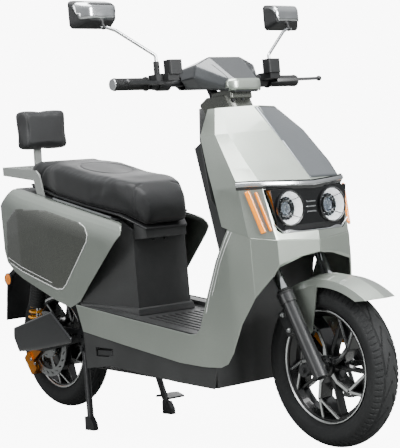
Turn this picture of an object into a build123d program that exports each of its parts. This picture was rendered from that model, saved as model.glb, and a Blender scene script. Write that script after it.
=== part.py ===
"""Electric moped scooter, about 1.8 m long, standing on its centre stand.

Millimetres, +X forward, +Y to the rider's left, +Z up, ground at Z = 0.
"""
from build123d import *
from math import atan2, cos, degrees, radians, sin
import os

os.makedirs("parts", exist_ok=True)

# ---- wheels and axles
FRONT_AXLE_X = 675.0
WHEELBASE = 1347.0
TYRE_R = 230.0
TYRE_WIDTH = 93.0
REAR_LIFT = 32.0                    # the centre stand holds the rear tyre off the ground
RIM_LIP_R = 161.0
RIM_HALF = 32.0
BEAD_R = 150.0
BARREL_R = 143.0
AXLE_R = 7.5
RUNNING = 0.05                      # radial clearance of a shaft in its bore
FACE_GAP = 0.4                      # clearance between faces that only meet
FRONT_DISC_R = 100.0
REAR_DISC_R = 115.0
DISC_THICK = 4.0
FRONT_DISC_Y = 57.0
REAR_DISC_Y = 76.0
MOTOR_R = 86.0
MOTOR_HALF = 56.0
SPOKE_GROUPS = 5

# ---- steering and fork, along a raked axis through the handlebar's centre
RAKE = 27.0
BAR_X = 244.0
BAR_Z = 1070.0
BAR_R = 11.0
BAR_HALF = 352.0
FORK_OFFSET = 40.0                  # the legs stand this far ahead of the steering axis
LEG_Y = 95.0
STANCHION_R = 15.5
SLIDER_R = 23.0
SLIDER_TOP = -731.0                 # heights along the steering axis, from the bar
SLIDER_FOOT = -985.0
YOKE_TOP = -492.0
YOKE_THICK = 28.0
HEAD_TOP = -300.0
HEAD_R = 27.0
STEM_R = 15.0
FORK_TRAVEL = 50.0
SLIDER_FLOOR = SLIDER_FOOT + 45.0   # bottom of each slider's bore
STANCHION_FOOT = SLIDER_FLOOR + FORK_TRAVEL + 10
FENDER_BOLT_R = 4.0

# ---- rear suspension
PIVOT_X = -400.0
PIVOT_Z = 300.0
PIVOT_R = 8.0
ARM_Y = 96.0
ARM_THICK = 16.0
SHOCK_Y = 124.0
SHOCK_LOWER_X = -650.0
SHOCK_LOWER_Z = 330.0
SHOCK_LENGTH = 232.0
ARM_TRAVEL = 8.0                    # degrees the swing arm rises from its droop stop
SHOCK_ROD_R = 6.0
SHOCK_BODY_R = 17.0
SPRING_R = 25.0
SPRING_WIRE = 6.0

# ---- centre stand
STAND_X = -362.0
STAND_Z = 262.0
STAND_FOOT_X = -316.0
STAND_TOP_Y = 127.0
STAND_FOOT_Y = 160.0

# ---- body
BODY_HALF = 205.0
SHELL = 4.0
RAIL_Y = 110.0
RAIL_R = 15.0
RAIL_Z = 275.0
LAMP_R = 51.0
LAMP_Y = 81.0
LAMP_Z = 676.0
LAMP_FACE_X = 642.0
SHIELD_FOOT_Z = 576.0
SHIELD_TOP_Z = 979.0
BAR_TRIM_Z = 748.0

REAR_AXLE_X = FRONT_AXLE_X - WHEELBASE
SHOCK_LEAN = degrees(atan2(SHOCK_LOWER_Z - PIVOT_Z, PIVOT_X - SHOCK_LOWER_X)) + ARM_TRAVEL / 2
FRONT_AXLE = Vector(FRONT_AXLE_X, 0, TYRE_R)
REAR_AXLE = Vector(REAR_AXLE_X, 0, TYRE_R + REAR_LIFT)
STEER = Plane(
    origin=(BAR_X, 0, BAR_Z),
    x_dir=(cos(radians(RAKE)), 0, sin(radians(RAKE))),
    z_dir=(-sin(radians(RAKE)), 0, cos(radians(RAKE))),
)
AXLE_U = STEER.to_local_coords(FRONT_AXLE).X
AXLE_W = STEER.to_local_coords(FRONT_AXLE).Z


def save(piece, name):
    piece.label = name
    export_step(piece, f"parts/{name}.step")


def side_plane(y):
    """Upright plane at one Y, with sketch axes X and Z and its normal towards -Y."""
    return Plane(origin=(0, y, 0), x_dir=(1, 0, 0), z_dir=(0, -1, 0))


def front_plane(x, y, z):
    """Upright plane across the body, with sketch axes Y and Z and its normal forward."""
    return Plane(origin=(x, y, z), x_dir=(0, 1, 0), z_dir=(1, 0, 0))


def wheel_plane(axle, y=0.0):
    """Upright plane through an axle, with its normal towards -Y."""
    return Plane(origin=(axle.X, y, axle.Z), x_dir=(1, 0, 0), z_dir=(0, -1, 0))


def bar_plane(start, end):
    return Plane(origin=start, z_dir=Vector(end) - Vector(start))


def length_between(start, end):
    return (Vector(end) - Vector(start)).length


def bent_tube(points, bend, radius, bore=0.0):
    """A round tube along straight runs joined by one bend radius."""
    with BuildPart() as tube:
        with BuildLine() as path:
            FilletPolyline(*points, radius=bend)
        with BuildSketch(Plane(origin=path.line @ 0, z_dir=path.line % 0)):
            Circle(radius)
            if bore:
                Circle(bore, mode=Mode.SUBTRACT)
        sweep()
    return tube.part


def side_panel(outline, plan, height):
    """A thin upright wall that follows a plan curve, cut to a side outline."""
    low, high = height
    with BuildPart() as wall:
        with BuildSketch(Plane.XY.offset(low)):
            with BuildLine():
                Polyline(*plan, close=True)
            make_face()
        extrude(amount=high - low)
        with BuildSketch(side_plane(0)):
            with BuildLine():
                Polyline(*outline, close=True)
            make_face()
        extrude(amount=2 * BODY_HALF, both=True, mode=Mode.INTERSECT)
    return wall.part


# ======== wheels

def tyre(axle):
    """Tubeless tyre: a round crown, bulging walls and beads behind the rim's lips."""
    half = TYRE_WIDTH / 2
    bead = RIM_HALF - 5
    with BuildPart() as ring:
        with BuildSketch(Plane(origin=axle)):
            with BuildLine():
                Polyline((RIM_LIP_R + 3, -bead - 3), (RIM_LIP_R + 1, -bead), (BEAD_R, -bead),
                         (BEAD_R, bead),
                         (RIM_LIP_R + 1, bead), (RIM_LIP_R + 3, bead + 3))
                ThreePointArc((RIM_LIP_R + 3, bead + 3), (TYRE_R - 38, half), (TYRE_R - 20, half - 5))
                ThreePointArc((TYRE_R - 20, half - 5), (TYRE_R, 0), (TYRE_R - 20, 5 - half))
                ThreePointArc((TYRE_R - 20, 5 - half), (TYRE_R - 38, -half), (RIM_LIP_R + 3, -bead - 3))
            make_face()
            with BuildLine():
                Polyline((BEAD_R + 16, 14), (BEAD_R - 1, 12), (BEAD_R - 1, -12), (BEAD_R + 16, -14))
                ThreePointArc((BEAD_R + 16, -14), (TYRE_R - 36, -half + 9), (TYRE_R - 18, -half + 20))
                ThreePointArc((TYRE_R - 18, -half + 20), (TYRE_R - 11, 0), (TYRE_R - 18, half - 20))
                ThreePointArc((TYRE_R - 18, half - 20), (TYRE_R - 36, half - 9), (BEAD_R + 16, 14))
            make_face(mode=Mode.SUBTRACT)
        revolve(axis=Axis(axle, (0, 1, 0)))
    return ring.part


def rim(axle, hub_r, hub_half, boss_r, boss_half, fork_r):
    """Cast wheel: dropped barrel, lips, hub, and spokes that each fork into two arms."""
    seat_r = BEAD_R - FACE_GAP
    lip_y = RIM_HALF - 5 + FACE_GAP
    with BuildPart() as wheel:
        with BuildSketch(Plane(origin=axle)):
            half_profile = [(RIM_LIP_R, RIM_HALF), (RIM_LIP_R, lip_y), (seat_r, lip_y), (seat_r, 15),
                            (BARREL_R, 11)]
            inner_profile = [(BARREL_R - 5, 11), (BARREL_R, 22), (RIM_LIP_R - 6, RIM_HALF)]
            with BuildLine():
                Polyline(*half_profile, *[(r, -y) for r, y in reversed(half_profile)],
                         *[(r, -y) for r, y in reversed(inner_profile)], *inner_profile, close=True)
            make_face()
        revolve(axis=Axis(axle, (0, 1, 0)))
        with BuildSketch(wheel_plane(axle)):
            Circle(hub_r)
        extrude(amount=hub_half, both=True)
        with BuildSketch(wheel_plane(axle)):
            Circle(boss_r)
        extrude(amount=boss_half, both=True)
        with BuildSketch(wheel_plane(axle)):
            reach = BARREL_R - 3
            spread = radians(16)
            with PolarLocations(0, SPOKE_GROUPS, start_angle=90):
                with BuildLine():
                    Polyline((hub_r - 6, -10), (fork_r, -6),
                             (reach * cos(spread), -reach * sin(spread) - 6),
                             (reach * cos(spread) + 3, -reach * sin(spread) + 6), (fork_r + 16, 0),
                             (reach * cos(spread) + 3, reach * sin(spread) - 6),
                             (reach * cos(spread), reach * sin(spread) + 6), (fork_r, 6), (hub_r - 6, 10),
                             close=True)
                make_face()
        extrude(amount=11, both=True)
        with BuildSketch(wheel_plane(axle)):
            Circle(AXLE_R + RUNNING)
        extrude(amount=boss_half + 1, both=True, mode=Mode.SUBTRACT)
    return wheel.part


def brake_disc(axle, y, radius, carrier_r, slots):
    """Flat ring disc with slots in its track and a spider to the hub."""
    with BuildPart() as disc:
        with BuildSketch(wheel_plane(axle, y)):
            Circle(radius)
            Circle(radius - 26, mode=Mode.SUBTRACT)
            Circle(carrier_r)
            with PolarLocations(0, 5):
                with Locations(((radius - 26 + carrier_r) / 2, 0)):
                    Rectangle(radius - 20 - carrier_r, 14)
            Circle(AXLE_R + 6, mode=Mode.SUBTRACT)
            with PolarLocations(radius - 13, slots):
                SlotOverall(18, 5, rotation=60, mode=Mode.SUBTRACT)
        extrude(amount=DISC_THICK)
    return disc.part


save(tyre(FRONT_AXLE), "front_tyre")
save(tyre(REAR_AXLE), "rear_tyre")
save(rim(FRONT_AXLE, 29, 30, 22, FRONT_DISC_Y - DISC_THICK - FACE_GAP, 84), "front_rim")
save(rim(REAR_AXLE, MOTOR_R, MOTOR_HALF, 34, REAR_DISC_Y - DISC_THICK, 100), "rear_rim")
save(brake_disc(FRONT_AXLE, FRONT_DISC_Y, FRONT_DISC_R, 30, 20), "front_disc")
save(brake_disc(REAR_AXLE, -REAR_DISC_Y + DISC_THICK, REAR_DISC_R, 50, 22), "rear_disc")

# ======== fork

def on_fork(along, u=FORK_OFFSET, y=0.0):
    """A point by its height along the steering axis and its distance ahead of it."""
    return STEER.origin + STEER.z_dir * along + STEER.x_dir * u + Vector(0, y, 0)


def fork_plane(along, u=FORK_OFFSET, y=0.0):
    """Plane square to the steering axis at such a point."""
    return Plane(origin=on_fork(along, u, y), x_dir=STEER.x_dir, z_dir=STEER.z_dir)


FENDER_BOLTS = [on_fork(-776, u=8), on_fork(-824, u=8)]
LUG_NEAR = LEG_Y - 8                # inner face of the lug that carries the fender
LUG_FAR = LEG_Y + 8

with BuildPart() as fork_sliders:
    for side in (-1, 1):
        with BuildSketch(fork_plane(SLIDER_FOOT, y=side * LEG_Y)):
            Circle(SLIDER_R - 2)
        extrude(amount=SLIDER_TOP - SLIDER_FOOT)
        with BuildSketch(fork_plane(SLIDER_TOP - 26, y=side * LEG_Y)):
            Circle(SLIDER_R + 1)
        extrude(amount=26)
        with BuildSketch(side_plane(side * LEG_Y + 17)):
            with Locations((FRONT_AXLE.X, FRONT_AXLE.Z)):
                Circle(18)
            with Locations((FRONT_AXLE.X + 18, FRONT_AXLE.Z + 8)):
                Rectangle(38, 26, rotation=RAKE)
        extrude(amount=34)
        lug = on_fork(-800, u=12, y=side * LEG_Y)
        with BuildSketch(side_plane(side * LEG_Y + 8)):
            with Locations((lug.X, lug.Z)):
                Rectangle(46, 72, rotation=RAKE)
            with Locations(*[(bolt.X, bolt.Z) for bolt in FENDER_BOLTS]):
                Circle(FENDER_BOLT_R, mode=Mode.SUBTRACT)
        extrude(amount=LUG_FAR - LUG_NEAR)
    for side in (-1, 1):
        with BuildSketch(fork_plane(SLIDER_FLOOR, y=side * LEG_Y)):
            Circle(STANCHION_R + RUNNING)
        extrude(amount=SLIDER_TOP - SLIDER_FOOT, mode=Mode.SUBTRACT)
    with BuildSketch(wheel_plane(FRONT_AXLE)):
        Circle(AXLE_R)
    extrude(amount=LEG_Y + 24, both=True)
save(fork_sliders.part, "fork_sliders")

with BuildPart() as fork_stanchions:
    for side in (-1, 1):
        with BuildSketch(fork_plane(STANCHION_FOOT, y=side * LEG_Y)):
            Circle(STANCHION_R)
        extrude(amount=YOKE_TOP - YOKE_THICK - STANCHION_FOOT)
save(fork_stanchions.part, "fork_stanchions")

with BuildPart() as steering_column:
    with BuildSketch(fork_plane(YOKE_TOP - YOKE_THICK, u=0)):
        with Locations((FORK_OFFSET, LEG_Y), (FORK_OFFSET, -LEG_Y)):
            Circle(STANCHION_R + 8)
        Circle(STEM_R + 12)
        with Locations((FORK_OFFSET * 0.55, 0)):
            Rectangle(52, 2 * LEG_Y)
    extrude(amount=YOKE_THICK)
    with BuildSketch(fork_plane(YOKE_TOP, u=0)):
        Circle(STEM_R)
    extrude(amount=-YOKE_TOP - BAR_R + 4)
    with BuildSketch(side_plane(-BAR_HALF)):
        with Locations((BAR_X, BAR_Z)):
            Circle(BAR_R)
    extrude(amount=-2 * BAR_HALF)
    with BuildSketch(side_plane(-24)):
        with Locations((BAR_X, BAR_Z)):
            Circle(BAR_R + 8)
    extrude(amount=-48)
save(steering_column.part, "steering_column")

# ======== handlebar controls

with BuildPart() as grip_left:
    with BuildSketch(side_plane(BAR_HALF)):
        with Locations((BAR_X, BAR_Z)):
            Circle(17)
            Circle(BAR_R + RUNNING, mode=Mode.SUBTRACT)
    extrude(amount=112)
    with BuildSketch(side_plane(BAR_HALF - 112)):
        with Locations((BAR_X, BAR_Z)):
            Circle(21)
            Circle(BAR_R + RUNNING, mode=Mode.SUBTRACT)
    extrude(amount=5)
save(grip_left.part, "grip_left")

with BuildPart() as throttle_grip:
    with BuildSketch(side_plane(-BAR_HALF)):
        with Locations((BAR_X, BAR_Z)):
            Circle(17)
            Circle(BAR_R + RUNNING, mode=Mode.SUBTRACT)
    extrude(amount=-112)
    with BuildSketch(side_plane(-BAR_HALF + 112)):
        with Locations((BAR_X, BAR_Z)):
            Circle(21)
            Circle(BAR_R + RUNNING, mode=Mode.SUBTRACT)
    extrude(amount=-5)
save(throttle_grip.part, "throttle_grip")

with BuildPart() as bar_ends:
    with BuildSketch(side_plane(BAR_HALF + FACE_GAP)):
        with Locations((BAR_X, BAR_Z)):
            Circle(17)
    extrude(amount=-5)
    mirror(about=Plane.XZ)
save(bar_ends.part, "bar_ends")

POD_Y = 178.0                       # middle of each switch pod
POD_HALF = 20.0
MASTER_Y = 213.0                    # middle of each brake master cylinder's clamp
MASTER_HALF = 12.0
LEVER_PIVOT_X = BAR_X + 46
LEVER_PIN_R = 4.0
LEVER_Z = BAR_Z - 4
LEVER_THICK = 9.0

with BuildPart() as switch_pods:
    with BuildSketch(side_plane(POD_Y + POD_HALF)):
        with Locations((BAR_X, BAR_Z)):
            Circle(22)
            Circle(BAR_R, mode=Mode.SUBTRACT)
        with Locations((BAR_X - 14, BAR_Z)):
            RectangleRounded(26, 34, 5)
        with Locations((BAR_X, BAR_Z)):
            Circle(BAR_R, mode=Mode.SUBTRACT)
    extrude(amount=2 * POD_HALF)
    with BuildSketch(front_plane(BAR_X - 29, POD_Y, BAR_Z)):
        Rectangle(16.6, 12.6)
    extrude(amount=8, mode=Mode.SUBTRACT)
    mirror(about=Plane.XZ)
save(switch_pods.part, "switch_pods")

for name, y in (("horn_button", POD_Y), ("start_button", -POD_Y)):
    with BuildPart() as button:
        with BuildSketch(front_plane(BAR_X - 30, y, BAR_Z)):
            Rectangle(16, 12)
        extrude(amount=5.5)
    save(button.part, name)

with BuildPart() as brake_masters:
    with BuildSketch(side_plane(MASTER_Y + MASTER_HALF)):
        with Locations((BAR_X, BAR_Z)):
            Circle(18)
        with Locations((BAR_X + 24, BAR_Z + 14)):
            Rectangle(50, 20)
        with Locations((BAR_X, BAR_Z)):
            Circle(BAR_R, mode=Mode.SUBTRACT)
    extrude(amount=2 * MASTER_HALF)
    with BuildSketch(Plane.XY.offset(LEVER_Z + LEVER_THICK / 2 + FACE_GAP)):
        with Locations((LEVER_PIVOT_X, MASTER_Y + 8)):
            Rectangle(26, 40)
        with Locations((LEVER_PIVOT_X + 16, MASTER_Y - 16)):
            Rectangle(44, 40)
    extrude(amount=20)
    with BuildSketch(Plane.XY.offset(BAR_Z + 18)):
        with Locations((BAR_X + 76, MASTER_Y - 22)):
            RectangleRounded(34, 46, 5)
    extrude(amount=42)
    with BuildSketch(Plane.XY.offset(LEVER_Z - LEVER_THICK / 2 - FACE_GAP)):
        with Locations((LEVER_PIVOT_X, MASTER_Y + 14)):
            Circle(LEVER_PIN_R)
    extrude(amount=LEVER_THICK + 4)
    with BuildSketch(Plane.XY.offset(BAR_Z + 22)):
        with Locations((BAR_X + 36, MASTER_Y + 7)):
            Circle(9)
    extrude(amount=38)
    mirror(about=Plane.XZ)
save(brake_masters.part, "brake_masters")


def brake_lever(side):
    """Flat blade from its pivot outwards, swept forward to a ball at the tip."""
    pivot = (LEVER_PIVOT_X, side * (MASTER_Y + 14))
    tip = (BAR_X + 94, side * 370.0)
    with BuildPart() as lever:
        with BuildSketch(Plane.XY.offset(LEVER_Z - LEVER_THICK / 2)):
            with BuildLine():
                Polyline((pivot[0] - 8, pivot[1] - side * 8), (pivot[0] + 22, pivot[1] - side * 8),
                         (tip[0] - 8, pivot[1] + side * 60), (tip[0] + 4, tip[1]), (tip[0] - 4, tip[1]),
                         (tip[0] - 22, pivot[1] + side * 60), (pivot[0] - 8, pivot[1] + side * 14),
                         close=True)
            make_face()
            with Locations(pivot):
                Circle(LEVER_PIN_R + RUNNING, mode=Mode.SUBTRACT)
        extrude(amount=LEVER_THICK)
        with Locations((tip[0], tip[1], LEVER_Z)):
            Sphere(8.5)
    return lever.part


save(brake_lever(1), "brake_lever_left")
save(brake_lever(-1), "brake_lever_right")

STALK_X = BAR_X + 36
STALK_Y = MASTER_Y + 7
STALK_Z = BAR_Z + 60
HEAD_PIVOT = (BAR_X - 13, 360.0, 1236.0)
MIRROR_PIN_R = 4.0


def mirror_stem(side):
    """Round stalk from the socket, up and out, ending in a level pin for the head."""
    foot = (STALK_X, side * STALK_Y, STALK_Z + FACE_GAP)
    end_y = HEAD_PIVOT[1] - 10
    with BuildPart() as stem:
        with BuildLine() as path:
            FilletPolyline(foot, (STALK_X, side * STALK_Y, STALK_Z + 18), (BAR_X - 3, side * 326, 1226),
                           (HEAD_PIVOT[0], side * end_y, HEAD_PIVOT[2]), radius=9)
        with BuildSketch(Plane(origin=path.line @ 0, z_dir=path.line % 0)):
            Circle(5)
        sweep()
        with BuildSketch(side_plane(side * (end_y - 4))):
            with Locations((HEAD_PIVOT[0], HEAD_PIVOT[2])):
                Circle(MIRROR_PIN_R)
        extrude(amount=-side * 24)
    return stem.part


def mirror_head(side):
    """Tapered housing on a lug round the stalk's pin, with a shallow seat for the glass."""
    centre_y = side * 372.0
    z_mid = 1278.0
    back_x = BAR_X - 62
    with BuildPart() as head:
        with BuildSketch(front_plane(back_x, centre_y, z_mid)):
            RectangleRounded(150, 84, 16)
        with BuildSketch(front_plane(back_x + 48, centre_y - side * 14, z_mid + 2)):
            RectangleRounded(92, 50, 10)
        loft()
        with BuildSketch(front_plane(back_x, centre_y, z_mid)):
            RectangleRounded(138, 72, 12)
        extrude(amount=5, mode=Mode.SUBTRACT)
        with BuildSketch(side_plane(side * HEAD_PIVOT[1] + 6)):
            with Locations((HEAD_PIVOT[0], HEAD_PIVOT[2])):
                Circle(8)
            with Locations((HEAD_PIVOT[0] - 3, HEAD_PIVOT[2] + 13)):
                Rectangle(10, 26)
            with Locations((HEAD_PIVOT[0], HEAD_PIVOT[2])):
                Circle(MIRROR_PIN_R + RUNNING, mode=Mode.SUBTRACT)
        extrude(amount=12)
    return head.part


for side, hand in ((1, "left"), (-1, "right")):
    save(mirror_stem(side), f"mirror_stem_{hand}")
    save(mirror_head(side), f"mirror_head_{hand}")

with BuildPart() as handlebar_cowl:
    rear = front_plane(BAR_X - 26, 0, BAR_Z + 14)
    with BuildSketch(rear):
        with BuildLine():
            Polyline((-118, 18), (-60, 36), (60, 36), (118, 18), (124, -14), (96, -34), (-96, -34),
                     (-124, -14),
                     close=True)
        make_face()
    with BuildSketch(front_plane(BAR_X + 84, 0, BAR_Z + 10)):
        with BuildLine():
            Polyline((-112, 34), (-60, 58), (60, 58), (112, 34), (124, -4), (100, -38), (-100, -38),
                     (-124, -4),
                     close=True)
        make_face()
    with BuildSketch(front_plane(BAR_X + 172, 0, BAR_Z - 28)):
        with BuildLine():
            Polyline((-46, 14), (-42, 18), (42, 18), (46, 14), (48, -14), (44, -20), (-44, -20), (-48, -14),
                     close=True)
        make_face()
    loft(ruled=True)
    with BuildSketch(side_plane(-130)):
        with Locations((BAR_X, BAR_Z)):
            Circle(BAR_R + 9)
    extrude(amount=-260, mode=Mode.SUBTRACT)
    with BuildSketch(fork_plane(-90, u=0)):
        Circle(STEM_R + 4)
    extrude(amount=90, mode=Mode.SUBTRACT)
    with BuildSketch(front_plane(BAR_X - 27, 0, BAR_Z + 24)):
        Rectangle(122, 40)
    extrude(amount=9, mode=Mode.SUBTRACT)
save(handlebar_cowl.part, "handlebar_cowl")

with BuildPart() as speedometer:
    with BuildSketch(front_plane(BAR_X - BAR_R - 21, 0, BAR_Z + 24)):
        Rectangle(121, 39)
    extrude(amount=13.5)
save(speedometer.part, "speedometer")

NECK_TOP = -62.0
NECK_FOOT = -168.0
with BuildPart() as neck_cover:
    with BuildSketch(fork_plane(NECK_FOOT, u=0)):
        with Locations((30, 0)):
            RectangleRounded(140, 92, 22)
        Circle(STEM_R + 2, mode=Mode.SUBTRACT)
    extrude(amount=NECK_TOP - NECK_FOOT)
    with BuildSketch(Plane.XY.offset(BAR_Z - 50)):
        Rectangle(2 * BAR_X + 400, 200)
    extrude(amount=100, mode=Mode.SUBTRACT)
save(neck_cover.part, "neck_cover")

# ======== front fender, its bolts and the front caliper

FENDER_CENTRE = Vector(FRONT_AXLE_X + 30, 0, TYRE_R - 45)
FENDER_R = 303.0
FENDER_HALF = 61.0
FENDER_EDGE_Z = 418.0

with BuildPart() as front_fender:
    with BuildSketch(Plane(origin=FENDER_CENTRE)):
        with BuildLine():
            Polyline((FENDER_R - 34, FENDER_HALF), (FENDER_R - 12, FENDER_HALF - 4), (FENDER_R, 0),
                     (FENDER_R - 12, 4 - FENDER_HALF), (FENDER_R - 34, -FENDER_HALF),
                     (FENDER_R - 34, SHELL - FENDER_HALF), (FENDER_R - 15, 8 - FENDER_HALF),
                     (FENDER_R - SHELL, 0),
                     (FENDER_R - 15, FENDER_HALF - 8), (FENDER_R - 34, FENDER_HALF - SHELL), close=True)
        make_face()
    revolve(axis=Axis(FENDER_CENTRE, (0, -1, 0)), revolution_arc=180)
    with BuildSketch(side_plane(0)):
        with BuildLine():
            Polyline((FRONT_AXLE_X - 96, 400), (FRONT_AXLE_X + 236, FENDER_EDGE_Z),
                     (FRONT_AXLE_X + 236, 520),
                     (FRONT_AXLE_X - 130, 520), close=True)
        make_face()
    extrude(amount=FENDER_HALF + 10, both=True, mode=Mode.INTERSECT)
    for side in (-1, 1):
        with BuildSketch(side_plane(side * (FENDER_HALF - SHELL / 2) + SHELL / 2)):
            with BuildLine():
                Polyline((FRONT_AXLE_X - 93, 440), (FRONT_AXLE_X + 30, 462), (FRONT_AXLE_X - 6, 332),
                         (FRONT_AXLE_X - 36, 300), (FRONT_AXLE_X - 70, 350), close=True)
            make_face()
            with Locations(*[(bolt.X, bolt.Z) for bolt in FENDER_BOLTS]):
                Circle(FENDER_BOLT_R, mode=Mode.SUBTRACT)
        extrude(amount=SHELL)
save(front_fender.part, "front_fender")

with BuildPart() as fender_bolts:
    for radius, near, far in (
        (FENDER_BOLT_R - 0.2, FENDER_HALF - SHELL - 4, LUG_FAR + 0.2),
        (7, FENDER_HALF + 0.2, LUG_NEAR - 0.2),
        (7, LUG_FAR + 0.2, LUG_FAR + 4),
        (7, FENDER_HALF - SHELL - 4, FENDER_HALF - SHELL - 0.2),
    ):
        with BuildSketch(side_plane(far)):
            with Locations(*[(bolt.X, bolt.Z) for bolt in FENDER_BOLTS]):
                Circle(radius)
        extrude(amount=far - near)
    mirror(about=Plane.XZ)
save(fender_bolts.part, "fender_bolts")


def caliper(axle, angle, disc_y, disc_r):
    """Two-piston caliper: a block over the disc's rim, open towards the hub."""
    radial = Vector(cos(radians(angle)), 0, sin(radians(angle)))
    centre = Vector(axle.X, disc_y, axle.Z) + radial * (disc_r + 6)
    with BuildPart() as block:
        with BuildSketch(Plane(origin=centre + Vector(0, 18, 0), x_dir=-radial, z_dir=(0, -1, 0))):
            RectangleRounded(44, 76, 9)
        extrude(amount=36)
        with BuildSketch(Plane(origin=centre + Vector(0, 4.5, 0), x_dir=-radial, z_dir=(0, -1, 0))):
            with Locations((12, 0)):
                Rectangle(56, 80)
        extrude(amount=9, mode=Mode.SUBTRACT)
    return block.part


with BuildPart() as front_caliper:
    add(caliper(FRONT_AXLE, 143, FRONT_DISC_Y - DISC_THICK / 2, FRONT_DISC_R))
    with BuildSketch(side_plane(LEG_Y - SLIDER_R - 0.5)):
        with BuildLine():
            Polyline((FRONT_AXLE_X - 100, TYRE_R + 60), (FRONT_AXLE_X - 66, TYRE_R + 106),
                     (FRONT_AXLE_X + 6, TYRE_R + 84), (FRONT_AXLE_X + 6, TYRE_R + 50), close=True)
        make_face()
    extrude(amount=5)
save(front_caliper.part, "front_caliper")

# ======== frame

with BuildPart() as head_frame:
    for start, end, radius in (
        (on_fork(YOKE_TOP + 4, u=0), on_fork(HEAD_TOP, u=0), HEAD_R),
        (on_fork(-400, u=-24), Vector(340, 0, RAIL_Z + 12), 20),
    ):
        with BuildSketch(bar_plane(start, end)):
            Circle(radius)
        extrude(amount=length_between(start, end))
    with BuildSketch(side_plane(RAIL_Y - RAIL_R - 0.2)):
        with Locations((340, RAIL_Z)):
            Circle(RAIL_R)
    extrude(amount=2 * (RAIL_Y - RAIL_R - 0.2))
    with BuildSketch(fork_plane(YOKE_TOP, u=0)):
        Circle(STEM_R + RUNNING)
    extrude(amount=HEAD_TOP - YOKE_TOP + 1, mode=Mode.SUBTRACT)
    with BuildSketch(fork_plane(YOKE_TOP + 18, u=0)):
        Circle(HEAD_R - 5)
    extrude(amount=HEAD_TOP - YOKE_TOP - 32, mode=Mode.SUBTRACT)
save(head_frame.part, "head_frame")

SHOCK_TOP = Vector(
    SHOCK_LOWER_X + SHOCK_LENGTH * sin(radians(SHOCK_LEAN)),
    0,
    SHOCK_LOWER_Z + SHOCK_LENGTH * cos(radians(SHOCK_LEAN)),
)
SHOCK_PIN_R = 6.0
PLATE_Y = 107.0                     # inner face of each pivot plate
PLATE_THICK = 6.0
RAIL_PATH = [(330, RAIL_Z), (-300, RAIL_Z), (-425, 560), (-690, 640)]

with BuildPart() as frame_rails:
    for side in (-1, 1):
        add(bent_tube([(x, side * RAIL_Y, z) for x, z in RAIL_PATH], 60, RAIL_R))
        with BuildSketch(side_plane(side * (PLATE_Y + PLATE_THICK / 2) + PLATE_THICK / 2)):
            with BuildLine():
                Polyline((-290, RAIL_Z), (STAND_X + 20, STAND_Z - 18), (STAND_X - 16, STAND_Z - 18),
                         (PIVOT_X - 20, PIVOT_Z - 4), (PIVOT_X - 16, PIVOT_Z + 20), (-335, 360), close=True)
            make_face()
            with Locations((STAND_X, STAND_Z), (PIVOT_X, PIVOT_Z)):
                Circle(PIVOT_R + RUNNING, mode=Mode.SUBTRACT)
        extrude(amount=PLATE_THICK)
        with BuildSketch(side_plane(side * (RAIL_Y - 4) + 3)):
            with BuildLine():
                Polyline((SHOCK_TOP.X - 14, SHOCK_TOP.Z - 7), (SHOCK_TOP.X + 14, SHOCK_TOP.Z - 7),
                         (SHOCK_TOP.X + 26, 612), (SHOCK_TOP.X - 26, 620), close=True)
            make_face()
        extrude(amount=6)
        with BuildSketch(side_plane(side * (RAIL_Y - 7))):
            with Locations((SHOCK_TOP.X, SHOCK_TOP.Z)):
                Circle(SHOCK_PIN_R)
        extrude(amount=-side * 36)
save(frame_rails.part, "frame_rails")

with BuildPart() as frame_cross_members:
    for x, z, radius, half in (
        (-235, RAIL_Z, 12, RAIL_Y - RAIL_R - 0.2),
        (-540, 594.7, 12, RAIL_Y - RAIL_R - 0.2),
        (PIVOT_X, PIVOT_Z, PIVOT_R, PLATE_Y + PLATE_THICK + 6),
        (STAND_X, STAND_Z, PIVOT_R, PLATE_Y + PLATE_THICK + 30),
    ):
        with BuildSketch(side_plane(half)):
            with Locations((x, z)):
                Circle(radius)
        extrude(amount=2 * half)
save(frame_cross_members.part, "frame_cross_members")

BATTERY_LOW = 222.0
BATTERY_HIGH = 308.0
BATTERY_HALF = 85.0
with BuildPart() as battery_box:
    with BuildSketch(Plane.XY.offset(BATTERY_LOW)):
        with Locations((50, 0)):
            RectangleRounded(470, 2 * BATTERY_HALF, 12)
    extrude(amount=BATTERY_HIGH - BATTERY_LOW)
save(battery_box.part, "battery_box")

with BuildPart() as controller:
    with Locations((-312, 0, 372)):
        Box(110, 130, 26)
        with GridLocations(0, 16, 1, 8):
            with Locations((0, 0, 17)):
                Box(110, 3, 8)
save(controller.part, "controller")

# ======== suspension at the back

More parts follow.
